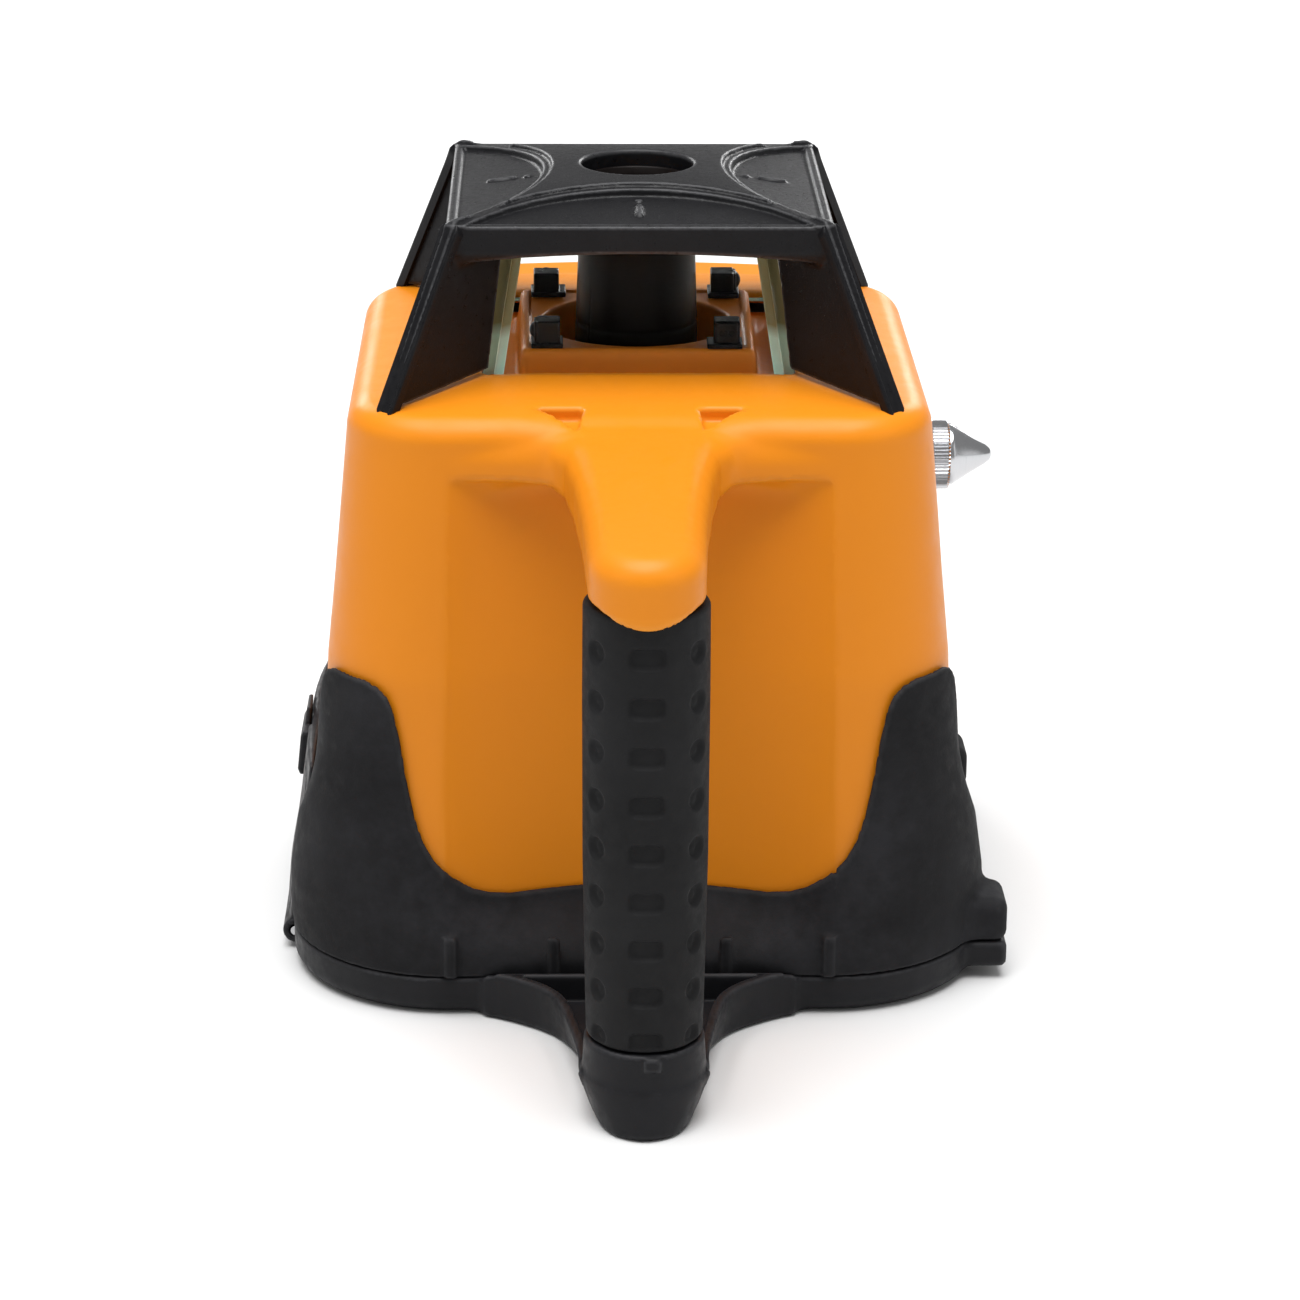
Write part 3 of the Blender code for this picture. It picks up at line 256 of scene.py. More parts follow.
def emit(name, verts, faces, mat, body, replaces=(), sharp=None, face_mats=None, extra=()):
    """A finished piece: the mesh, its material, the body it rides on and the CAD nodes that it stands for."""
    verts = np.clip(to_world(verts), size_before[0], size_before[1])
    me = bpy.data.meshes.new(name)
    if isinstance(faces, np.ndarray):
        me.vertices.add(len(verts))
        me.vertices.foreach_set("co", verts.astype(np.float32).ravel())
        k = faces.shape[1]
        me.loops.add(faces.size)
        me.loops.foreach_set("vertex_index", faces.astype(np.int32).ravel())
        me.polygons.add(len(faces))
        me.polygons.foreach_set("loop_start", (np.arange(len(faces)) * k).astype(np.int32))
        me.update(calc_edges=True)
        me.validate()
    else:
        me.from_pydata([tuple(p) for p in verts], [], faces)
        bm = bmesh.new()
        bm.from_mesh(me)
        bmesh.ops.recalc_face_normals(bm, faces=bm.faces)
        bm.to_mesh(me)
        bm.free()
    if len(verts) in EDGES:
        at = me.attributes.new("edge", "FLOAT", "POINT")
        at.data.foreach_set("value", EDGES[len(verts)].astype(np.float32))
    me.materials.append(M[mat])
    for e in extra:
        me.materials.append(M[e])
    if face_mats is not None:
        me.polygons.foreach_set("material_index", np.asarray(face_mats, np.int32))
    me.shade_smooth()
    if sharp:
        me.set_sharp_from_angle(angle=radians(sharp))
    o = bpy.data.objects.new(name, me)
    bpy.context.scene.collection.objects.link(o)
    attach(o, body)
    if replaces:
        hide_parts(*replaces)
    return o


EDGES = {}


def axis_points(lo, hi, h, fine):
    """Grid positions from lo to hi, h apart, or closer inside the (from, to, spacing) stretches."""
    pts = [lo]
    while pts[-1] < hi:
        k = h
        for a, b, g in fine:
            if a <= pts[-1] < b:
                k = g
        pts.append(pts[-1] + k)
    return np.array(pts)


def nets(f, lo, hi, h, steps=3, fine=None):
    """Surface of f = 0 as quads, its points pulled onto the surface."""
    ax = [axis_points(lo[i], hi[i], h, (fine or {}).get(i, ())) for i in range(3)]
    n = np.array([len(a) for a in ax])
    F = np.empty(tuple(n), np.float32)
    Y, Z = ax[1][None, :, None], ax[2][None, None, :]
    for i0 in range(0, n[0], 16):
        F[i0:i0 + 16] = f(ax[0][i0:i0 + 16][:, None, None], Y, Z)
    F[np.abs(F) < 1e-5] = 1e-5
    S = F < 0
    cnt = np.zeros(tuple(n - 1), np.uint8)
    corners = [(a, b, c) for a in (0, 1) for b in (0, 1) for c in (0, 1)]
    for a, b, c in corners:
        cnt += S[a:n[0] - 1 + a, b:n[1] - 1 + b, c:n[2] - 1 + c]
    mixed = (cnt > 0) & (cnt < 8)
    idx = np.full(mixed.shape, -1, np.int32)
    cells = np.argwhere(mixed)
    idx[mixed] = np.arange(len(cells))
    P = np.zeros((len(cells), 3))
    W = np.zeros(len(cells))
    for axis in range(3):
        others = [i for i in range(3) if i != axis]
        for u in (0, 1):
            for v in (0, 1):
                a = np.zeros(3, int)
                a[others[0]], a[others[1]] = u, v
                b = a.copy()
                b[axis] = 1
                ca, cb = cells + a, cells + b
                fa, fb = F[ca[:, 0], ca[:, 1], ca[:, 2]], F[cb[:, 0], cb[:, 1], cb[:, 2]]
                cross = (fa < 0) != (fb < 0)
                t = fa[cross] / (fa[cross] - fb[cross])
                p = np.tile(a.astype(float), (cross.sum(), 1))
                p[:, axis] = t
                P[cross] += p
                W[cross] += 1
    P = P / W[:, None] + cells
    P = np.stack([np.interp(P[:, i], np.arange(n[i]), ax[i]) for i in range(3)], 1)
    quads = []
    for axis in range(3):
        o1, o2 = (axis + 1) % 3, (axis + 2) % 3
        A = np.moveaxis(S, (axis, o1, o2), (0, 1, 2))
        I = np.moveaxis(idx, (axis, o1, o2), (0, 1, 2))
        change = A[:-1, 1:-1, 1:-1] != A[1:, 1:-1, 1:-1]
        inside_first = A[:-1, 1:-1, 1:-1]
        c = np.argwhere(change)
        i, j, k = c[:, 0], c[:, 1] + 1, c[:, 2] + 1
        q = np.stack([I[i, j - 1, k - 1], I[i, j, k - 1], I[i, j, k], I[i, j - 1, k]], 1)
        flip = ~inside_first[c[:, 0], c[:, 1], c[:, 2]]
        q[flip] = q[flip][:, ::-1]
        quads.append(q)
    Q = np.concatenate(quads)
    e = 0.2 * h
    a = np.concatenate([Q[:, 0], Q[:, 1], Q[:, 2], Q[:, 3]])
    b = np.concatenate([Q[:, 1], Q[:, 2], Q[:, 3], Q[:, 0]])
    a, b = np.concatenate([a, b]), np.concatenate([b, a])
    count = np.maximum(np.bincount(a, minlength=len(P)), 1)
    for k in range(steps + 1):
        if k < steps:
            mean = np.stack([np.bincount(a, P[b, i], minlength=len(P)) / count for i in range(3)], 1)
            P = P + 0.45 * (mean - P)
        x, y, z = P[:, 0], P[:, 1], P[:, 2]
        d = f(x, y, z)
        g = np.stack([f(x + e, y, z) - f(x - e, y, z), f(x, y + e, z) - f(x, y - e, z), f(x, y, z + e) - f(x, y, z - e)], 1) / (2 * e)
        L2 = np.maximum((g ** 2).sum(1), 0.25)
        move = -(d / L2)[:, None] * g
        ln = np.sqrt((move ** 2).sum(1))
        move *= (np.minimum(ln, 0.45 * h) / np.maximum(ln, 1e-9))[:, None]
        P = P + move
    x, y, z = P[:, 0], P[:, 1], P[:, 2]
    e = 0.75
    bend = (f(x + e, y, z) + f(x - e, y, z) + f(x, y + e, z) + f(x, y - e, z) + f(x, y, z + e) + f(x, y, z - e) - 6 * f(x, y, z)) / (e * e)
    EDGES[len(P)] = np.clip(bend * 0.75, 0, 1)
    return P, Q


def loft(rings, closed=False):
    n = len(rings[0])
    verts = [tuple(p) for r in rings for p in r]
    faces = []
    rows = len(rings)
    for i in range(rows if closed else rows - 1):
        a, b = i * n, ((i + 1) % rows) * n
        for k in range(n):
            faces.append((a + k, a + (k + 1) % n, b + (k + 1) % n, b + k))
    if not closed:
        faces.append(tuple(range(n)))
        faces.append(tuple(range((rows - 1) * n, rows * n))[::-1])
    return verts, faces


AXES = {
    "z": (Vector((1, 0, 0)), Vector((0, 1, 0)), Vector((0, 0, 1))),
    "x": (Vector((0, 1, 0)), Vector((0, 0, 1)), Vector((1, 0, 0))),
    "y": (Vector((0, 0, 1)), Vector((1, 0, 0)), Vector((0, 1, 0))),
}


def turned(c, profile, seg=64, axis="z", ring=False):
    u, v, w = AXES[axis] if isinstance(axis, str) else axis
    c = Vector(c)
    rings = [[c + u * (r * cos(2 * pi * k / seg)) + v * (r * sin(2 * pi * k / seg)) + w * h for k in range(seg)] for r, h in profile]
    return loft(rings, closed=ring)


def rounded_profile(points, r=0.25, seg=3):
    """Rounds every corner of an open or closed (radius, height) profile a little."""
    out = [points[0]]
    for a, b, c in zip(points, points[1:], points[2:]):
        a, b, c = Vector(a), Vector(b), Vector(c)
        u, v = (a - b), (c - b)
        k = min(r, u.length * 0.45, v.length * 0.45)
        p, q = b + u.normalized() * k, b + v.normalized() * k
        for i in range(seg + 1):
            t = i / seg
            out.append(tuple((p * (1 - t) + b * t) * (1 - t) + (b * (1 - t) + q * t) * t))
    out.append(points[-1])
    return out


def merge(parts):
    verts, faces = [], []
    for v, f in parts:
        k = len(verts)
        verts += [tuple(p) for p in v]
        faces += [tuple(i + k for i in q) for q in f]
    return verts, faces


# ============================================================ distance helpers
def smin(a, b, k):
    h = np.maximum(k - np.abs(a - b), 0) / k
    return np.minimum(a, b) - h * h * k * 0.25


def smax(a, b, k):
    h = np.maximum(k - np.abs(a - b), 0) / k
    return np.maximum(a, b) + h * h * k * 0.25


def rmax(a, b, r):
    """Intersection with a rounded edge."""
    return np.minimum(np.maximum(a, b), -r) + np.hypot(np.maximum(a + r, 0), np.maximum(b + r, 0))


def rmin(a, b, r):
    return np.maximum(np.minimum(a, b), r) - np.hypot(np.maximum(r - a, 0), np.maximum(r - b, 0))


def step(a, b, t):
    t = np.clip((t - a) / (b - a), 0, 1)
    return t * t * (3 - 2 * t)


def square(x, y, hx, hy, r):
    qx, qy = np.abs(x) - hx + r, np.abs(y) - hy + r
    return np.hypot(np.maximum(qx, 0), np.maximum(qy, 0)) + np.minimum(np.maximum(qx, qy), 0) - r


def brick(x, y, z, hx, hy, hz, r):
    qx, qy, qz = np.abs(x) - hx + r, np.abs(y) - hy + r, np.abs(z) - hz + r
    return np.sqrt(np.maximum(qx, 0) ** 2 + np.maximum(qy, 0) ** 2 + np.maximum(qz, 0) ** 2) + np.minimum(np.maximum(np.maximum(qx, qy), qz), 0) - r


def polygon(x, y, pts):
    """Signed distance to a closed outline."""
    pts = np.asarray(pts, float)
    x, y = np.broadcast_arrays(x, y)
    best = np.full(x.shape, 1e9)
    inside = np.zeros(x.shape, bool)
    for (ax_, ay_), (bx, by) in zip(pts, np.roll(pts, -1, 0)):
        ex, ey = bx - ax_, by - ay_
        wx, wy = x - ax_, y - ay_
        t = np.clip((wx * ex + wy * ey) / (ex * ex + ey * ey), 0, 1)
        best = np.minimum(best, (wx - ex * t) ** 2 + (wy - ey * t) ** 2)
        cross = ((ay_ > y) != (by > y)) & (x < (bx - ax_) * (y - ay_) / (by - ay_ + 1e-12) + ax_)
        inside ^= cross
    d = np.sqrt(best)
    return np.where(inside, -d, d)


# ============================================================ housing
ZB = [9.0, 80.0, 100.0, 119.0, 134.0, 141.0]
HXB = [76.0, 72.6, 70.5, 68.7, 67.3, 66.8]
HYB = [73.2, 71.5, 70.0, 68.4, 67.1, 66.7]
RB = [29.0, 25.0, 23.5, 22.0, 21.0, 20.5]
RECESS_TOP = 127.2


def body_side(x, y, z, grow=0.0):
    hx, hy, r = np.interp(z, ZB, HXB) + grow, np.interp(z, ZB, HYB) + grow, np.interp(z, ZB, RB) + grow
    return square(x, y, hx, hy, r)


def channel(x, z):
    half = 45.6 - 2.6 * (z - 9) / 118
    s = 1 - (x / half) ** 2
    e = 0.06
    s = np.where(s > e, s, np.where(s < -e, 0.0, (s + e) ** 2 / (4 * e)))
    lip = step(half + 0.5, half - 0.5, np.abs(x) + 0 * z)
    return (10.7 * s ** 1.1 + 0.4 * lip) * (1 - step(126.6, 127.9, z))


def body_walls(x, y, z, grow=0.0):
    d = body_side(x, y, z, grow)
    g = (-(np.interp(z, ZB, HYB) + grow) + channel(x, z) - y) * 0.93
    return np.maximum(d, g)


def crown(x, y):
    t = 67.3 - smax(np.abs(x), np.abs(y), 18.0)
    return 140.35 + 0.128 * t


def body_solid(x, y, z):
    return rmax(body_walls(x, y, z), z - crown(x, y), 5.0)


ARM_Y = np.array([-145.0, -139.5, -130.0, -108.0, -88.0, -76.0, -70.5, -67.5, -65.0, -61.0, -56.0])
ARM_W = np.array([11.6, 12.0, 12.6, 13.6, 15.4, 17.4, 21.0, 27.0, 34.0, 38.0, 39.0])
ARM_TOP = np.array([132.6, 133.1, 134.1, 136.1, 137.8, 138.8, 139.3, 139.6, 139.8, 140.1, 140.5])
ARM_LOW = np.array([121.0, 120.9, 121.1, 122.4, 123.6, 125.0, 126.4, 127.2, 127.4, 127.6, 128.0])
ARM_SLOPE = np.sqrt(1 + np.gradient(ARM_W, ARM_Y) ** 2)


def arm_solid(x, y, z):
    w = np.interp(y, ARM_Y, ARM_W)
    sl = np.interp(y, ARM_Y, ARM_SLOPE)
    side = (np.abs(x) - w) / sl
    end = np.where(y < -131.4, np.hypot(x * 1.02, (y + 131.4) * 0.985) - 12.8, side)
    plan = np.where(y < -131.4, end, side)
    top = z - np.interp(y, ARM_Y, ARM_TOP) + 0.9 * (x / np.maximum(w, 1)) ** 2
    front = step(-133.0, -142.0, y)
    low_z = np.interp(y, ARM_Y, ARM_LOW) - 3.1 * front * np.clip(1 - (x / 10.6) ** 2, 0.0, 1.0)
    low = low_z - z
    d = rmax(plan, top, 5.4)
    return rmax(d, low, 1.6)


KT = radians(4.9)
KEY_Y, KEY_Z = 69.75, 104.0


def key_coords(x, y, z):
    """Keypad axes: across, up the panel, out of it."""
    dy, dz = y - KEY_Y, z - KEY_Z
    return x, -sin(KT) * dy + cos(KT) * dz, cos(KT) * dy + sin(KT) * dz


def housing_f(x, y, z):
    body = body_solid(x, y, z)
    arm = arm_solid(x, y, z)
    top_part = step(131.0, 136.5, z)
    d = smin(body, arm, 7.0 - 4.5 * top_part)
    d = np.maximum(d, y * 0 - 200)
    # notches beside the arm
    ax = np.abs(x)
    tri = np.maximum(np.maximum(13.5 + 0.096 * (-57.8 - y) - ax, y + 57.8), ((ax - 14.2) * 9.4 - (y + 67.2) * 8.8) / 12.88)
    d = smax(d, -np.maximum(tri - 0.3, 138.3 - z), 0.6)
    # hollow
    inner = body_solid(x, y, z) + 3.0
    inner = np.maximum(inner, -np.maximum(tri - 2.6, 133.0 - z))
    d = np.maximum(d, -inner)
    win = square(x, y, 36.5, 36.5, 3.2)
    d = smax(d, -np.maximum(win, 130.0 - z), 1.0)
    kx, ky, kz = key_coords(x, y, z)
    d = np.maximum(d, -np.maximum(square(kx, ky, 32.4, 17.4, 3.5), -8.0 - kz))
    d = np.maximum(d, -np.maximum(np.hypot(y, z - 113.5) - 6.0, 40.0 - x))
    d = np.maximum(d, -np.maximum(np.maximum(np.abs(y) - 36.3, np.abs(z - 25.0) - 20.0), x + 60.0))
    gx, gy = x, y + 129.0
    rg = np.hypot(gx, gy)
    d = smax(d, -np.maximum(rg - 14.1, z - 120.5), 0.5)
    d = np.maximum(d, -np.maximum(rg - 9.3, z - 128.3))
    return np.maximum(d, 9.8 - z)


P, Q = nets(housing_f, (-78.5, -147.0, 7.5), (78.5, 76.0, 147.5), 1.35,
            fine={0: [(-13.0, 13.0, 0.85)], 1: [(-147.0, -136.0, 0.55), (-70.0, -55.5, 0.8), (-50.0, 50.0, 1.75)],
                  2: [(8.0, 90.0, 2.2), (112.0, 124.5, 0.6), (134.0, 143.0, 1.0)]})
housing = emit("housing_shell", P, Q, "orange_abs", "body", ["housing"])

# ============================================================ rubber boot
SZ = [9.0, 13.0, 24.0, 39.0, 50.0, 60.0, 80.0]
SX = [82.6, 83.1, 82.9, 80.6, 78.4, 76.3, 74.4]
SY = [77.6, 78.0, 77.9, 76.6, 75.2, 74.2, 73.2]
SR = [38.0, 38.5, 38.0, 35.0, 32.0, 29.0, 26.5]
# the boot's edge on the handle and keypad faces, and on the side faces, from mid-face to corner
EDGE_Y = [(-6.0, 27.2), (14.0, 27.2), (30.0, 26.9), (35.0, 27.8), (38.8, 29.4), (43.6, 33.0), (47.6, 37.3), (50.1, 42.0), (52.0, 48.0), (53.4, 55.0), (55.2, 66.5),
          (56.6, 73.2), (58.0, 76.6), (60.6, 78.9), (64.0, 79.9), (67.0, 80.0)]
EDGE_X = [(-6.0, 47.5), (30.0, 47.5), (34.0, 47.9), (38.0, 49.6), (42.0, 53.2), (45.6, 58.6), (48.6, 65.2), (51.2, 71.8), (53.6, 76.2), (56.4, 78.8), (59.6, 79.9), (62.0, 80.0)]


def edge_cut(t, z, edge):
    return polygon(t, z, edge + [(130.0, 80.0), (130.0, 140.0), (-6.0, 140.0)])


def boot_f(x, y, z):
    ax, ay = np.abs(x) + 0 * y, np.abs(y) + 0 * x
    k = step(-0.05, 0.05, ay / 71.0 - ax / 74.0)
    zt = z + 17.0 * step(15.0, 60.0, y) * step(34.0, 74.0, z)
    cut = edge_cut(ax, zt, EDGE_Y) * k + edge_cut(ay, zt, EDGE_X) * (1 - k)
    lip = body_walls(x, y, z) - 1.9
    skirt = square(x, y, np.interp(z, SZ, SX), np.interp(z, SZ, SY), np.interp(z, SZ, SR))
    s = step(0.0, 14.0, cut)
    d = lip * (1 - s) + skirt * s
    # low ribs near the hem
    for rx in (-44.0, -20.0, 44.0, 20.0):
        rib = np.maximum(square(x - rx, y + 78.2, 1.5, 0.9, 0.8), np.abs(z - 15.0) - 5.0)
        d = smin(d, rib, 1.0)
    for ry in (-50.0, 50.0):
        b = brick(x - 82.0, y - ry, z - 14.6, 5.9, 8.0, 5.6, 3.0)
        d = smin(d, b, 3.0)
    d = rmax(d, -cut, 0.9)
    d = smax(d, -(body_walls(x, y, z) - 0.4), 0.5)
    d = smax(d, -np.maximum(np.maximum(np.abs(y) - 38.3, z - 48.2), x + 60.0), 0.8)
    return smax(d, 9.85 - z, 0.6)


P, Q = nets(boot_f, (-86.0, -81.5, 8.5), (90.0, 81.5, 82.5), 0.95, fine={2: [(24.5, 31.5, 0.5)]})
boot = emit("boot", P, Q, "black_rubber", "body", ["rubber_boot"])

# ============================================================ base cover with the lower arm
LOW_PLAN = [(37.4, -66.0), (37.0, -77.4), (33.5, -80.0), (29.0, -82.6), (23.2, -87.4), (19.4, -94.0), (16.7, -108.0), (15.0, -120.0), (14.2, -130.0),
            (13.4, -133.0), (0.0, -136.0)]
LOW_PLAN = [(-x, y) for x, y in LOW_PLAN[:-1]] + [LOW_PLAN[-1]] + LOW_PLAN[:-1][::-1]


def smooth_outline(points, per=4):
    """The closed outline through the points as a smooth curve."""
    p = np.array(points, float)
    a, b, c, d = (np.roll(p, k, axis=0) for k in (1, 0, -1, -2))
    out = [0.5 * (2 * b + (c - a) * t + (2 * a - 5 * b + 4 * c - d) * t * t + (3 * b - a - 3 * c + d) * t ** 3) for t in np.arange(per) / per]
    return [tuple(q) for q in np.stack(out, 1).reshape(-1, 2)]


LOW_PLAN = smooth_outline(LOW_PLAN)


def base_f(x, y, z):
    plan = square(x, y, 82.6, 77.6, 38.0)
    tray = rmax(plan, -z, 4.5)
    tray = rmax(tray, z - 9.5, 0.7)
    for ry in (-50.0, 50.0):
        tray = smin(tray, brick(x - 82.0, y - ry, z - 6.3, 5.9, 8.0, 3.2, 1.5), 1.5)
    cav = np.maximum(square(x, y, 79.3, 74.3, 35.0), 4.0 - z)
    tray = np.maximum(tray, -cav)
    rs = np.hypot(x, y + 129.0)
    # the end under the grip: drawn in towards the floor at the sides, not at the nose
    rl = np.interp(z, [0.0, 1.3, 5.5, 9.0, 11.4, 11.6], [10.4, 10.9, 12.3, 13.5, 14.1, 14.1])
    nose = np.where(y < -129.0, rl / np.interp(z, [0.0, 4.0, 8.0, 11.6], [15.3, 15.2, 14.7, 14.1]), 1.0)
    end = np.hypot(x, (y + 129.0) * nose) - rl
    lp = smin(polygon(x, y, LOW_PLAN) + 0.33 * np.clip(11.4 - z, 0.0, 11.4) * step(-82.0, -106.0, y), end, 1.6)
    top_z = 9.5 + 2.2 * step(-77.0, -80.0, y)
    arm = rmax(rmax(lp, z - top_z, 0.9), -z, 1.8)
    pocket = np.maximum(np.maximum(lp + 2.4, 5.0 - z), np.maximum(y + 80.5, 14.6 - rs))
    arm = smax(arm, -pocket, 0.9)
    arm = np.maximum(arm, y + 72.0)
    socket = rmax(np.maximum(rs - np.interp(z, [0.0, 11.4, 19.8], [14.1, 13.75, 13.25]), np.where(z < 11.4, end, -1.0)), z - 19.8, 0.6)
    socket = np.maximum(socket, 0.4 - z)
    d = smin(tray, arm, 1.5)
    d = smin(d, socket, 0.8)
    nub = brick(x - 1.6, y + 142.3, z - 17.8, 1.9, 0.8, 1.6, 0.4)
    d = smin(d, nub, 0.4)
    d = np.maximum(d, -np.maximum(rs - 9.5, 6.0 - z))
    d = np.maximum(d, -np.maximum(rs - 4.2, z - 3.4))
    d = np.maximum(d, -(rs - 2.3))
    d = np.maximum(d, -(np.hypot(x, y) - 13.4))
    d = smax(d, -np.maximum(np.maximum(np.abs(y) - 38.3, 75.6 + x), 0 * z - 9), 0.6)
    rc = np.hypot(np.abs(x) - 52.0, np.abs(y) - 52.0)
    d = np.maximum(d, -np.maximum(rc - 3.7, z - 2.1))
    d = np.maximum(d, -(rc - 2.0))
    return np.maximum(d, -z)


P, Q = nets(base_f, (-85.0, -147.0, -1.6), (90.0, 80.0, 21.6), 0.85)
base = emit("base", P, Q, "black_abs", "body", ["base_cover"])

# ============================================================ grip
def grip_mesh(seg=248, rows=372):
    z0, z1 = 20.4, 120.2
    th = np.arange(seg) * 2 * pi / seg
    zz = np.concatenate([[z0], z0 + 1.2 * (1 - np.cos(np.linspace(0, pi / 2, 6)))[1:], np.linspace(z0 + 1.2, z1 - 1.2, rows)[1:-1], z1 - 1.2 * (1 - np.sin(np.linspace(0, pi / 2, 6)))])
    T, Z = np.meshgrid(th, zz)
    R = np.interp(Z, [z0, 35.0, 62.0, 100.0, z1], [12.85, 13.15, 13.6, 13.7, 13.6])
    lowr = np.clip((Z - z0) / 1.2, 0, 1)
    highr = np.clip((z1 - Z) / 1.2, 0, 1)
    R = R - 0.9 * (1 - np.sqrt(1 - (1 - lowr) ** 2)) - 0.9 * (1 - np.sqrt(1 - (1 - highr) ** 2))
    dent = np.zeros_like(R)
    rows_z = [111.3 - 11.1 * k for k in range(9)]
    for side in (0.0, pi):
        a0 = -pi / 2 + side
        for kz in rows_z:
            u = (np.angle(np.exp(1j * (T - a0)))) * 13.7
            v = Z - kz
            slot = square(u, v, 3.9, 2.3, 1.6)
            dent = np.maximum(dent, 1.15 * step(0.5, -0.6, slot))
            rim = np.exp(-((slot - 0.9) / 0.45) ** 2)
            dent = dent - 0.14 * rim * (slot > 0)
            for s in (-1, 1):
                uu = (np.angle(np.exp(1j * (T - a0 - s * radians(53))))) * 13.7
                rr = np.hypot(uu, v)
                dent = np.maximum(dent, 0.85 * step(2.9, 1.9, rr))
                dent = dent + 0.22 * np.exp(-((rr - 1.2) / 0.7) ** 2) * (rr < 2.0)
        line = np.exp(-((np.angle(np.exp(1j * (T - a0)))) * 13.7 / 0.28) ** 2)
        dent = dent - 0.16 * line * (dent < 0.3)
    R = R - dent * np.minimum(lowr, highr)
    X, Y = R * np.cos(T), -129.0 + R * np.sin(T)
    verts = np.stack([X, Y, Z], -1).reshape(-1, 3)
    n = len(zz)
    inner = np.stack([9.5 * np.cos(th), -129.0 + 9.5 * np.sin(th), np.full(seg, z1)], -1)
    inner0 = inner.copy()
    inner0[:, 2] = z0
    verts = np.concatenate([verts, inner, inner0])
    faces = []
    k = np.arange(seg)
    kn = (k + 1) % seg
    order = list(range(n)) + [n, n + 1]
    for i in range(len(order)):
        a, b = order[i] * seg, order[(i + 1) % len(order)] * seg
        faces.append(np.stack([a + k, a + kn, b + kn, b + k], 1))
    return verts, np.concatenate(faces)


v, q = grip_mesh()
emit("grip_sleeve", v, q, "grip_rubber", "body", ["grip"])

# ============================================================ cage: cap and finned posts
def cap_top(x, y):
    return 186.0 - 4.8 * np.maximum((x * x + y * y) / 3889.6, 1e-6) ** 0.8


WEB = [(50.6, 145.1), (62.9, 143.6), (76.0, 142.1), (81.6, 141.6), (61.4, 180.4), (56.0, 179.5), (45.6, 174.4)]


def cage_f(x, y, z):
    ax, ay = np.abs(x), np.abs(y)
    o, s = np.maximum(ax, ay), np.minimum(ax, ay)
    half = np.interp(z, [172.0, 174.0, 183.0], [43.4, 44.2, 44.1])
    plan = square(x, y, half, half, 3.2)
    d = rmax(plan, z - cap_top(x, y), 1.3)
    rim_low = 171.1 + 2.8 * (1 - (s / 44.0) ** 2)
    d = rmax(d, (rim_low - z), 0.7)
    # underside
    d = smax(d, -np.maximum(square(x, y, 40.6, 40.6, 2.0), z - (173.6 + 1.0 * (1 - (s / 40.0) ** 2))), 0.5)
    # arc recesses with a stepped edge
    arc = np.hypot(s, 69.8 - o) - 47.3
    floor = 179.6 + (43.0 - o) * 0.135
    cut = np.maximum(np.maximum(arc, floor - z), o - 42.0)
    d = smax(d, -cut, 0.6)
    d = smax(d, -np.maximum(arc, floor + 0.8 - z), 0.5)
    shelf = np.maximum(arc - 2.2, cap_top(x, y) - 0.95 - z)
    d = smax(d, -shelf, 0.5)
    # tick on each floor
    tick = brick(s, o - 32.0, z - floor, 0.8, 3.4, 0.55, 0.3)
    d = smin(d, tick, 0.25)
    dot = np.maximum(np.hypot(s, o - 25.8) - 0.95, np.abs(z - floor) - 0.45)
    d = smin(d, dot, 0.25)
    # hole
    r = np.hypot(x, y)
    d = smax(d, -(r - 13.2), 1.1)
    # posts
    rho, tau = (ax + ay) / sqrt(2), (ax - ay) / sqrt(2)
    web = rmax(polygon(rho, z, WEB), np.abs(tau) - 1.5, 0.5)
    return smin(d, web, 1.6)


P, Q = nets(cage_f, (-60.0, -60.0, 138.0), (60.0, 60.0, 187.5), 0.62)
emit("cage_cap", P, Q, "cage_black", "body", ["cage"])


def post(q):
    """Outer flange of one post: a ribbed strip from the housing's shoulder to the cap's corner."""
    a = -3 * pi / 4 + q * pi / 2
    c, s = cos(a), sin(a)
    low, high = np.array([83.0, 140.2]), np.array([61.2, 180.8])
    along = (high - low) / np.linalg.norm(high - low)
    out = np.array([along[1], -along[0]])
    section = [(-2.5, -2.2), (-2.6, -0.4), (-2.55, 0.0), (-2.25, 0.32), (-1.85, 0.32), (-1.55, 0.02), (-0.9, -0.08), (0.9, -0.08), (1.55, 0.02), (1.85, 0.32),
               (2.25, 0.32), (2.55, 0.0), (2.6, -0.4), (2.5, -2.2), (1.2, -2.4), (-1.2, -2.4)]
    rings = []
    L = np.linalg.norm(high - low)
    for i, t in enumerate(np.linspace(0, L, 40)):
        e = min(t, L - t)
        k = 1.0 if e > 1.2 else 0.72 + 0.28 * sqrt(max(0.0, 1 - (1 - e / 1.2) ** 2))
        ring = []
        for w, d in section:
            wv = 1.0 + 0.15 * step(6.0, 0.0, L - t)
            dd = min(d, 0.0) if e < 0.8 else d
            p = low + along * t + out * (dd * k - 0.35)
            ring.append((p[0] * c - w * k * wv * s, p[0] * s + w * k * wv * c, p[1]))
        rings.append(ring)
    return loft(rings)


v, f = merge([post(q) for q in range(4)])
emit("cage_posts", v, f, "cage_black", "body", sharp=50)

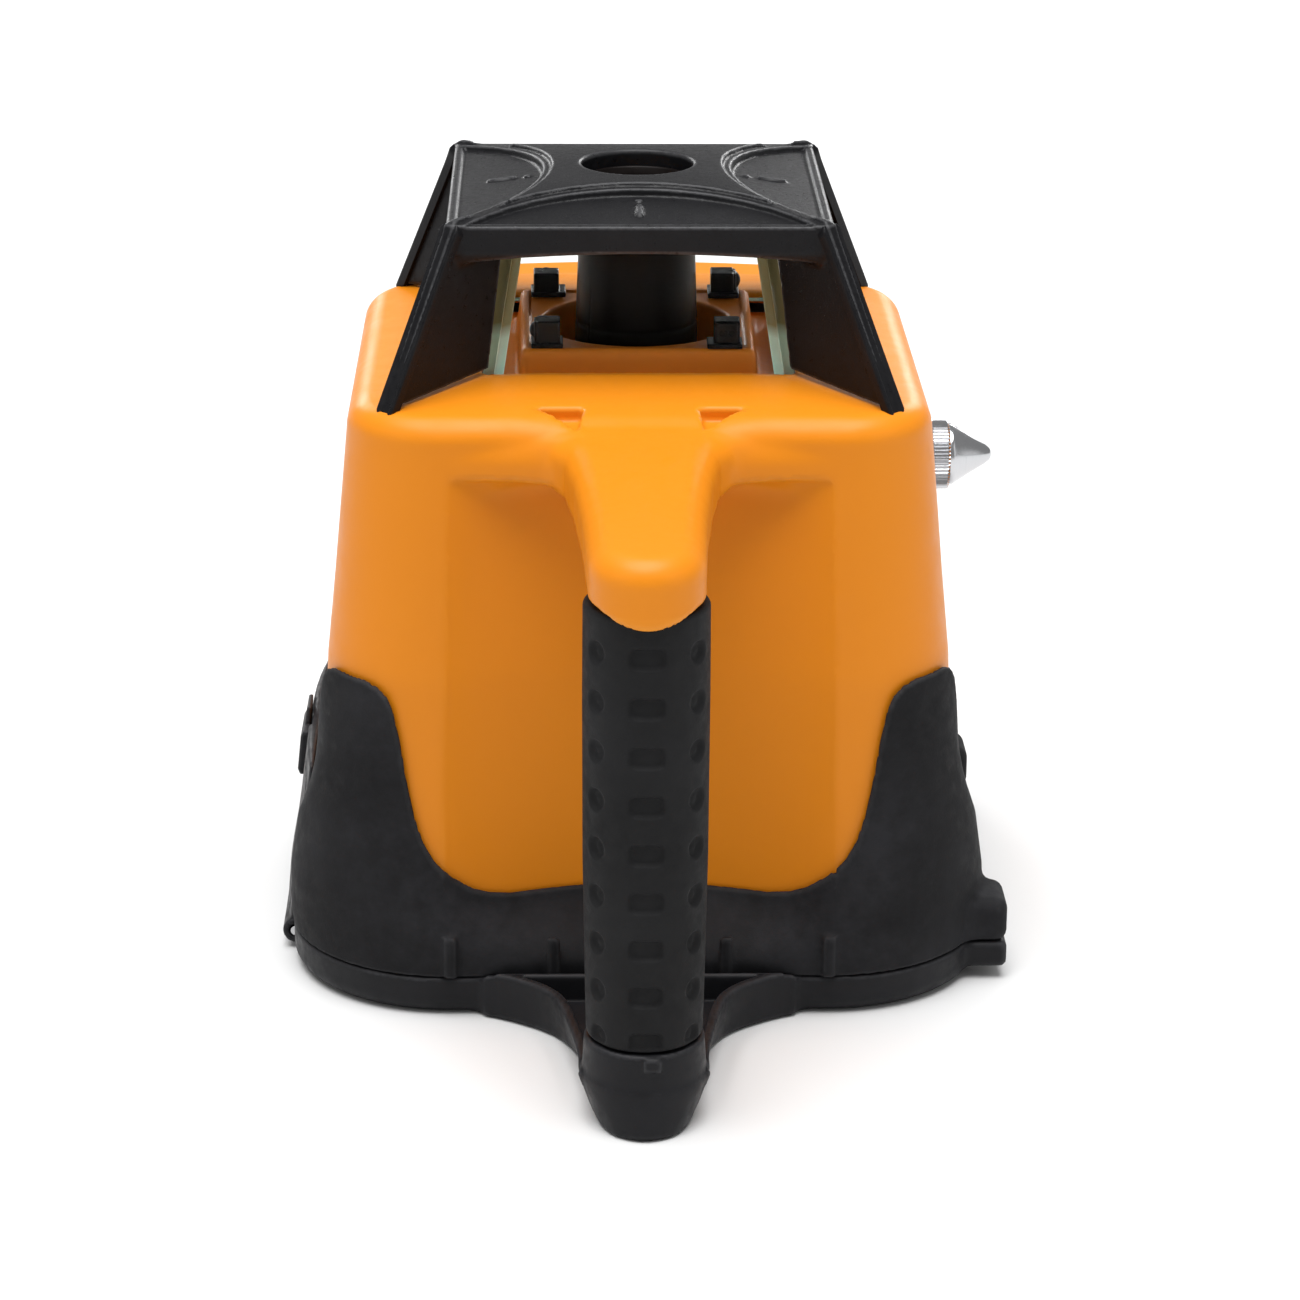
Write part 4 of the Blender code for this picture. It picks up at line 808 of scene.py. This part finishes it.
# ============================================================ panes
for q, n in enumerate(("back", "right", "front", "left")):
    rot = Matrix.Rotation(q * pi / 2, 3, "Z")
    bm = bmesh.new()
    vs = []
    for z, d, w in ((142.4, 35.2, 33.9), (172.2, 30.6, 29.2)):
        for x, y in ((-w, -d - 1.0), (w, -d - 1.0), (w - 2.2, -d + 1.9), (-w + 2.2, -d + 1.9)):
            vs.append(bm.verts.new(rot @ Vector((x, y, z))))
    fs = [bm.faces.new([vs[i] for i in g]) for g in ((0, 3, 2, 1), (4, 5, 6, 7), (0, 1, 5, 4), (1, 2, 6, 5), (2, 3, 7, 6), (3, 0, 4, 7))]
    for i, fc in enumerate(fs):
        fc.material_index = 0 if i in (2, 4) else 1
    bmesh.ops.recalc_face_normals(bm, faces=bm.faces)
    bmesh.ops.bevel(bm, geom=list(bm.edges), offset=0.25, segments=2, profile=0.5, affect="EDGES", material=1)
    bm.verts.ensure_lookup_table()
    verts = [tuple(p.co) for p in bm.verts]
    faces = [tuple(p.index for p in fc.verts) for fc in bm.faces]
    mi = [fc.material_index for fc in bm.faces]
    bm.free()
    o = emit("glass_" + n, verts, faces, "mint_glass", "body", ["pane_" + n], sharp=25, face_mats=mi, extra=["glass_edge"])

v, f = turned((0, 0, 0), rounded_profile([(12.6, 177.0), (12.9, 177.2), (12.9, 181.5), (12.5, 181.9), (12.0, 181.7), (11.2, 180.2), (10.7, 178.6), (10.7, 177.0), (12.6, 177.0)], 0.2), 96, ring=True)
emit("exit_ring", v, f, "rotor_black", "body", ["exit_bezel"], sharp=40)
v, f = turned((0, 0, 0), [(11.9, 174.9), (12.5, 175.2), (12.6, 175.6), (12.6, 176.2), (12.3, 176.6)], 96)
emit("exit_glass", v, f, "clear_glass", "body", ["exit_window"], sharp=40)

# ============================================================ deck and receivers
def deck_f(x, y, z):
    half = np.interp(z, [140.2, 147.2], [27.8, 27.0])
    up = rmax(square(x, y, half, half, 2.2), z - 147.2, 1.3)
    up = np.maximum(up, 138.0 - z)
    r = np.hypot(x, y)
    flat = np.maximum(np.maximum(square(x, y, 24.9, 24.9, 1.6), 146.75 - z), z - 150)
    up = smax(up, -flat, 0.4)
    low = rmax(square(x, y, 36.1, 36.1, 3.0), z - (139.5 + 0.9 * step(33.0, 27.0, np.maximum(np.abs(x), np.abs(y)))), 0.8)
    low = np.maximum(low, 137.0 - z)
    d = smin(up, low, 1.6)
    return smax(d, -(r - 22.3), 0.7)


P, Q = nets(deck_f, (-37.5, -37.5, 135.6), (37.5, 37.5, 148.6), 0.5)
emit("deck_plate", P, Q, "orange_deck", "body", ["deck"])

RECEIVERS = {"receiver_back_left": (-21.2, -23.0, (-1, 0)), "receiver_back_right": (20.6, -23.4, (0, -1)),
             "receiver_front_right": (21.0, 22.6, (1, 0)), "receiver_front_left": (-21.0, 22.6, (0, 1))}
for n, (cx, cy, (dx, dy)) in RECEIVERS.items():
    def rec_f(x, y, z):
        a = (x - cx) * dx + (y - cy) * dy
        b = -(x - cx) * dy + (y - cy) * dx
        top = 153.4 if cy < 0 else 152.4
        d = brick(a + 0.3, b, z - (top + 147.4) / 2, 2.7, 3.0, (top - 147.4) / 2, 0.35)
        pad = brick(a, b + 0.5, z - 147.75, 3.7, 4.1, 0.55, 0.25)
        d = np.minimum(d, pad)
        mid = (top + 148.2) / 2
        face = brick(a - 2.3, b, z - mid, 0.7, 2.4, (top - 148.6) / 2, 0.2)
        d = np.minimum(d, face)
        r = np.hypot(b, z - mid)
        if dy >= 0 and not (dx == 0 and dy < 0):
            lens = np.sqrt((a - 1.9) ** 2 + r * r) - 2.2
            return np.minimum(d, lens)
        pit = np.maximum(np.minimum(np.hypot(b - 1.1, z - mid), np.hypot(b + 1.1, z - mid)) - 0.7, 2.6 - a)
        return smax(d, -pit, 0.15)

    P, Q = nets(rec_f, (cx - 5.6, cy - 5.6, 146.4), (cx + 5.6, cy + 5.6, 155.9), 0.22, steps=2)
    emit("sensor_" + n[9:], P, Q, "sensor_black", "body", [n])

# ============================================================ rotor head
def rotor_f(x, y, z):
    r = np.hypot(x, y)
    d = r - np.interp(z, [136.0, 146.0, 161.0, 169.8], [14.3, 14.3, 13.8, 13.6])
    d = rmax(d, z - 169.8, 0.7)
    d = rmax(d, 136.4 - z, 0.5)
    bore = np.maximum(r - np.interp(z, [141.6, 168.0], [11.9, 11.5]), np.maximum(141.6 - z, z - 168.2))
    d = np.maximum(d, -bore)
    d = np.maximum(d, -np.maximum(r - 7.2, z - 143.0))
    d = smax(d, -np.maximum(r - 6.0, 160.0 - z), 0.5)
    port = np.maximum(square(x, z - 155.5, 4.6, 5.0, 0.8), 6.0 - y)
    d = smax(d, -port, 0.4)
    frame_ = np.maximum(square(x, z - 155.5, 5.4, 5.8, 1.2), 13.35 - y)
    d = smax(d, -frame_, 0.2)
    band = np.exp(-((z - 147.4) / 0.35) ** 2) * 0.3 * (r > 12.8)
    return d + band


P, Q = nets(rotor_f, (-15.4, -15.4, 135.4), (15.4, 15.4, 170.8), 0.45)
emit("rotor_cap", P, Q, "rotor_black", "rotor", ["rotor_head"])

# ============================================================ adjusting foot
def foot_mesh(seg=432):
    prof = [(2.2, 55.0), (2.8, 55.8), (2.8, 71.2), (7.6, 71.2), (8.35, 71.35), (8.5, 71.7)]
    prof += [(8.5, x) for x in np.linspace(71.8, 75.2, 7)]
    prof += [(8.5, 75.3), (8.3, 75.7), (7.9, 75.8), (7.5, 75.85), (7.5, 76.6), (7.35, 76.9), (6.9, 77.5), (5.55, 79.7), (5.45, 79.75), (4.0, 82.1), (2.5, 84.6), (1.55, 85.8), (1.0, 86.15), (0.5, 86.3)]
    prof = [prof[0]] + prof[1:]
    rings = []
    for r, x in prof:
        ring = []
        for k in range(seg):
            a = 2 * pi * k / seg
            rr = r
            if 71.7 <= x <= 75.31 and r > 8:
                tooth = abs(((k / seg * 54) % 1.0) - 0.5) * 2
                rr = r - 0.55 * min(1.0, tooth * 1.35)
            ring.append((x, rr * cos(a), 113.5 + rr * sin(a)))
        rings.append(ring)
    return loft(rings)


v, f = foot_mesh()
emit("foot_cone", v, f, "chrome", "cone_foot", ["cone_foot"], sharp=28)
v, f = turned((0, 0, 113.5), rounded_profile([(3.4, 70.3), (7.2, 70.3), (7.4, 70.5), (7.4, 70.9), (7.2, 71.0), (3.4, 71.0), (3.2, 70.8), (3.2, 70.4), (3.4, 70.3)], 0.08, 2), 96, "x", ring=True)
emit("foot_ring", v, f, "chrome", "foot_washer", ["foot_washer"], sharp=40)

# ============================================================ battery door and latch
def door_f(x, y, z):
    d0 = np.interp(z, [4.5, 8.0, 15.0, 23.0, 31.0, 40.0, 47.4], [85.6, 85.5, 84.9, 83.4, 82.2, 81.0, 80.0]) - 2.0 * np.abs(y / 37.9) ** 3
    out = (-x - d0) * 0.98
    d = rmax(out, np.abs(y) - 37.8, 1.2)
    d = rmax(d, z - 47.4, 1.0)
    inner = np.maximum(79.0 - (z - 8.0) * 0.04, 76.2)
    d = np.maximum(d, (inner + x))
    d = np.maximum(d, 4.6 - z)
    # finger ribs
    for k in range(5):
        groove = np.maximum(square(y, z - (22.0 - 2.6 * k), 17.0 - k, 0.55, 0.5), -x * 0 + (d0 - 0.7 + x))
        d = smax(d, -groove, 0.35)
    rim = np.abs(square(y, z - 25.0, 33.5, 17.5, 4.0)) - 0.35
    d = smax(d, -np.maximum(rim, d0 - 0.5 + x), 0.3)
    d = smax(d, -np.maximum(square(y, z - 40.3, 9.2, 11.3, 1.0), x + (81.1 - (z - 33.0) * 0.125)), 0.3)
    r = np.hypot(x + 82.6, z - 4.5)
    knuckle = rmax(r - 3.05, np.abs(y) - 37.9, 0.3)
    d = smin(d, knuckle, 0.6)
    return np.maximum(d, -(r - 1.55))


P, Q = nets(door_f, (-87.6, -39.4, 0.4), (-74.6, 39.4, 49.0), 0.6)
emit("door_panel", P, Q, "black_abs", "battery_door", ["battery_door"])


def latch_f(x, y, z):
    outer = np.interp(z, [33.6, 35.0, 43.5, 45.0, 49.8], [82.7, 83.2, 82.3, 81.5, 80.8])
    inner = np.interp(z, [33.6, 35.0, 43.5, 45.0, 49.8], [81.5, 81.3, 80.25, 80.05, 79.75])
    w = 8.5 - 3.5 * step(44.6, 45.6, z)
    d = np.maximum(-x - outer, x + inner)
    d = rmax(d, np.abs(y) - w, 0.5)
    d = rmax(d, z - 49.8, 0.3)
    d = rmax(d, 33.6 - z, 0.3)
    for k in range(3):
        g = np.maximum(np.abs(z - (36.6 + 2.4 * k)) - 0.55, outer - 0.55 + x)
        d = smax(d, -np.maximum(g, np.abs(y) - 7.2), 0.25)
    return d


P, Q = nets(latch_f, (-84.4, -9.4, 32.8), (-78.8, 9.4, 50.6), 0.3)
emit("latch_slide", P, Q, "black_abs", "door_latch", ["door_latch"])

# ============================================================ keypad
BUTTONS = {"button_power": (0.0, -5.5, 6.0), "button_slope": (-14.6, -5.5, 4.8), "button_speed": (14.6, -5.5, 4.8), "button_tilt": (25.6, 6.0, 4.4)}
LAMPS = (-9.0, 0.0, 9.0)


def bezel_l(a, b, c):
    d = rmax(square(a, b, 32.0, 17.0, 3.4), c - 0.9, 0.5)
    d = rmax(d, -2.4 - c, 0.2)
    d = smax(d, -np.maximum(square(a, b, 30.2, 15.2, 2.4), 0.45 - c), 0.25)
    for bx, by, br in BUTTONS.values():
        r = np.hypot(a - bx, b - by)
        d = smin(d, np.maximum(np.abs(r - br - 1.0) - 0.55, np.maximum(c - 0.85, -1.0 - c)), 0.3)
        d = smax(d, -(r - br - 0.4), 0.2)
    for lx in LAMPS:
        d = smax(d, -(np.hypot(a - lx, b - 9.0) - 1.85), 0.25)
    return d


def from_key(P):
    a, b, c = P[:, 0], P[:, 1], P[:, 2]
    return np.stack([a, KEY_Y - sin(KT) * b + cos(KT) * c, KEY_Z + cos(KT) * b + sin(KT) * c], 1)


P, Q = nets(bezel_l, (-33.2, -18.2, -3.2), (33.2, 18.2, 1.8), 0.4)
emit("keypad_frame", from_key(P), Q, "black_abs", "body", ["keypad_bezel"])
KV = Vector((0, -sin(KT), cos(KT)))
KN = Vector((0, cos(KT), sin(KT)))
KEY_AXES = (Vector((1, 0, 0)), KV, KN)


def key_at(x, y, z=0.0):
    return Vector((0, KEY_Y, KEY_Z)) + Vector((1, 0, 0)) * x + KV * y + KN * z


def tube(points, w, c0, c1, closed=False):
    """A raised flat line on the keypad, w wide, between heights c0 and c1."""
    parts = []
    for (x0, y0), (x1, y1) in zip(points, points[1:]):
        dx, dy = x1 - x0, y1 - y0
        ln = sqrt(dx * dx + dy * dy)
        nx, ny = -dy / ln * w / 2, dx / ln * w / 2
        ex, ey = dx / ln * w / 2, dy / ln * w / 2
        q = [(x0 - ex + nx, y0 - ey + ny), (x0 - ex - nx, y0 - ey - ny), (x1 + ex - nx, y1 + ey - ny), (x1 + ex + nx, y1 + ey + ny)]
        parts.append(loft([[key_at(a, b, c0) for a, b in q], [key_at(a, b, c1) for a, b in q]]))
    return parts


ICONS = {
    "button_power": lambda: [turned(key_at(0.0, -5.5), [(2.2, 1.5), (2.2, 2.18), (1.7, 2.18), (1.7, 1.5)], 40, KEY_AXES, ring=True)] + tube([(0.0, -5.3), (0.0, -2.7)], 0.5, 1.5, 2.19),
    "button_slope": lambda: tube([(-16.8, -6.8), (-12.5, -6.8)], 0.45, 1.5, 2.18) + tube([(-16.6, -6.6), (-12.8, -4.3)], 0.45, 1.5, 2.17),
    "button_speed": lambda: tube([(12.8, -5.5), (15.2, -5.5)], 0.45, 1.5, 2.18) + tube([(14.8, -6.9), (16.4, -5.5), (14.8, -4.1)], 0.45, 1.5, 2.17),
    "button_tilt": lambda: tube([(23.7, 6.0), (27.5, 6.0)], 0.45, 1.5, 2.18) + tube([(25.6, 4.4), (25.6, 7.6)], 0.45, 1.5, 2.17),
}
for n, (bx, by, br) in BUTTONS.items():
    prof = rounded_profile([(br - 0.1, -3.6), (br - 0.05, 1.0), (br - 0.25, 1.9), (br - 0.9, 2.2), (br * 0.72, 2.0), (br * 0.3, 1.75), (0.1, 1.72)], 0.35, 4)
    v, f = turned(key_at(bx, by), prof, 72, KEY_AXES)
    emit("key_" + n[7:], v, f, "key_grey", n, [n], sharp=45)
    v, f = merge(ICONS[n]())
    emit("icon_" + n[7:], v, f, "icon_white", n, sharp=30)
parts = []
for lx in LAMPS:
    parts.append(turned(key_at(lx, 9.0), [(1.5, -3.6), (1.55, 0.7), (1.35, 1.1), (0.9, 1.4), (0.3, 1.5)], 36, KEY_AXES))
lo, hi = (-11.5, 7.2), (11.5, 10.8)
q = [(lo[0], lo[1]), (hi[0], lo[1]), (hi[0], hi[1]), (lo[0], hi[1])]
parts.append(loft([[key_at(a, b, -4.6) for a, b in q], [key_at(a, b, -2.9) for a, b in q]]))
v, f = merge(parts)
emit("lamp_lenses", v, f, "red_lens", "body", ["lamp_strip"], sharp=40)

# ============================================================ screws
def cross_screw(name, node, cx, cy, r, z0, z1, shank, body="body"):
    def fn(x, y, z):
        rr = np.hypot(x - cx, y - cy)
        head = rmax(rmax(rr - r, z - z1, 0.2), z0 - z, 0.5)
        a, b = x - cx, y - cy
        slot = np.maximum(np.minimum(np.maximum(np.abs(a) - 0.45, np.abs(b) - r * 0.62), np.maximum(np.abs(b) - 0.45, np.abs(a) - r * 0.62)), z - z0 - 0.75)
        return np.maximum(head, -slot)
    P, Q = nets(fn, (cx - r - 0.6, cy - r - 0.6, z0 - 0.5), (cx + r + 0.6, cy + r + 0.6, z1 + 0.6), 0.22, steps=2)
    v, f = turned((cx, cy, 0), shank, 24)
    verts = [tuple(p) for p in P] + v
    faces = [tuple(int(i) for i in q) for q in Q] + [tuple(i + len(P) for i in q) for q in f]
    emit(name, verts, faces, "steel", body, [node], sharp=40)


for n, (sx, sy) in {"back_left": (-52, -52), "back_right": (52, -52), "front_right": (52, 52), "front_left": (-52, 52)}.items():
    thread = [(1.6, 1.5)] + [(1.6 if i % 2 else 1.3, 2.2 + i * 0.35) for i in range(18)] + [(0.6, 9.0)]
    cross_screw("screw_" + n, "base_screw_" + n, float(sx), float(sy), 3.3, 0.7, 1.8, thread)
thread = [(1.9, 2.6)] + [(1.9 if i % 2 else 1.55, 3.4 + i * 0.42) for i in range(28)] + [(0.8, 16.0)]
cross_screw("screw_handle", "handle_screw", 0.0, -129.0, 3.8, 0.9, 3.0, thread)

# ============================================================ carried-over pieces
CARRIED = {
    "tripod_insert": "brass", "handle_core": "black_abs", "chassis_plate": "aluminium", "gimbal_ring": "aluminium", "laser_barrel": "aluminium", "laser_module": "brass",
    "collimating_lens": "clear_glass", "rotor_bearing": "steel", "level_vial_x": "vial_green", "level_vial_y": "vial_green", "rotor_motor": "steel", "drive_belt": "black_rubber",
    "level_motor_x": "steel", "level_motor_y": "steel", "lead_screw_x": "steel", "lead_screw_y": "steel", "level_nut_x": "brass", "level_nut_y": "brass", "rotor_shaft": "steel",
    "pentaprism": "clear_glass", "motor_pulley": "brass", "battery_tray": "black_abs", "cell_front": "cell_wrap", "cell_back": "cell_wrap", "contact_bridge": "steel",
    "door_hinge_pin": "steel", "foot_insert": "brass", "main_board": "board_green",
}
for n, kind in CARRIED.items():
    o = nodes[n]
    for i in range(len(o.material_slots)):
        o.material_slots[i].material = M[kind]
    if not o.material_slots:
        o.data.materials.append(M[kind])

# ============================================================ studio
fm, ft, fb = nodes_of("floor_pale")
fn_ = add(ft, "ShaderNodeTexNoise", Scale=3.0, Detail=2.0)
fr = add(ft, "ShaderNodeMapRange")
fr.inputs["To Min"].default_value, fr.inputs["To Max"].default_value = 0.82, 0.9
ft.links.new(fn_.outputs["Fac"], fr.inputs["Value"])
ft.links.new(fr.outputs["Result"], fb.inputs["Roughness"])
fb.inputs["Base Color"].default_value = (0.70, 0.70, 0.70, 1)
fb.inputs["Specular IOR Level"].default_value = 0.1
me = bpy.data.meshes.new("floor")
me.from_pydata([(-7, -5, 0), (7, -5, 0), (7, 9, 0), (-7, 9, 0)], [], [(0, 1, 2, 3)])
me.materials.append(fm)
floor = bpy.data.objects.new("floor", me)
bpy.context.scene.collection.objects.link(floor)
floor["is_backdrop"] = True

world = bpy.data.worlds.new("studio")
bpy.context.scene.world = world
world.use_nodes = True
bg = world.node_tree.nodes["Background"]
bg.inputs["Color"].default_value = (1.0, 1.0, 1.0, 1)
bg.inputs["Strength"].default_value = 0.31


def area(name, loc, target, size, power):
    d = bpy.data.lights.new(name, "AREA")
    d.shape = "RECTANGLE"
    d.size, d.size_y = size
    d.energy = power
    o = bpy.data.objects.new(name, d)
    o.location = loc
    o.rotation_euler = (Vector(target) - Vector(loc)).to_track_quat("-Z", "Y").to_euler()
    bpy.context.scene.collection.objects.link(o)
    return o


sun = bpy.data.lights.new("key_sun", "SUN")
sun.energy = 3.7
sun.angle = radians(55)
so = bpy.data.objects.new("key_sun", sun)
so.rotation_euler = Vector((0.08, 0.10, -1.0)).to_track_quat("-Z", "Y").to_euler()
bpy.context.scene.collection.objects.link(so)
area("key_top", (0.05, -0.20, 1.4), (0, 0, 0.1), (1.0, 0.8), 5.5)
area("fill_left", (-1.3, -0.9, 0.8), (0, 0, 0.1), (0.9, 1.2), 2.0)
area("fill_right", (1.3, -0.8, 0.7), (0, 0, 0.1), (0.9, 1.2), 2.2)
area("rim_left", (-0.62, 1.7, 0.66), (0, 0, 0.17), (0.45, 0.5), 5)
area("rim_right", (0.62, 1.7, 0.66), (0, 0, 0.17), (0.45, 0.5), 6)

cam = bpy.data.cameras.new("camera")
cam.lens = 110.43
cam.sensor_width = 36.0
cam.clip_end = 50.0
co = bpy.data.objects.new("camera", cam)
right, up, fwd = Vector((0.999762, -0.021056, 0.005748)), Vector((0.001633, 0.334758, 0.942303)), Vector((0.021766, 0.942069, -0.334712))
rot = Matrix((right, up, -fwd)).transposed().to_4x4()
co.matrix_world = Matrix.Translation((-0.018815, -0.893769, 0.39235)) @ rot
bpy.context.scene.collection.objects.link(co)
bpy.context.scene.camera = co
bpy.context.scene.view_settings.view_transform = "Standard"
bpy.context.scene.view_settings.look = "None"

{"before": size_before, "after": plain(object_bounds())}
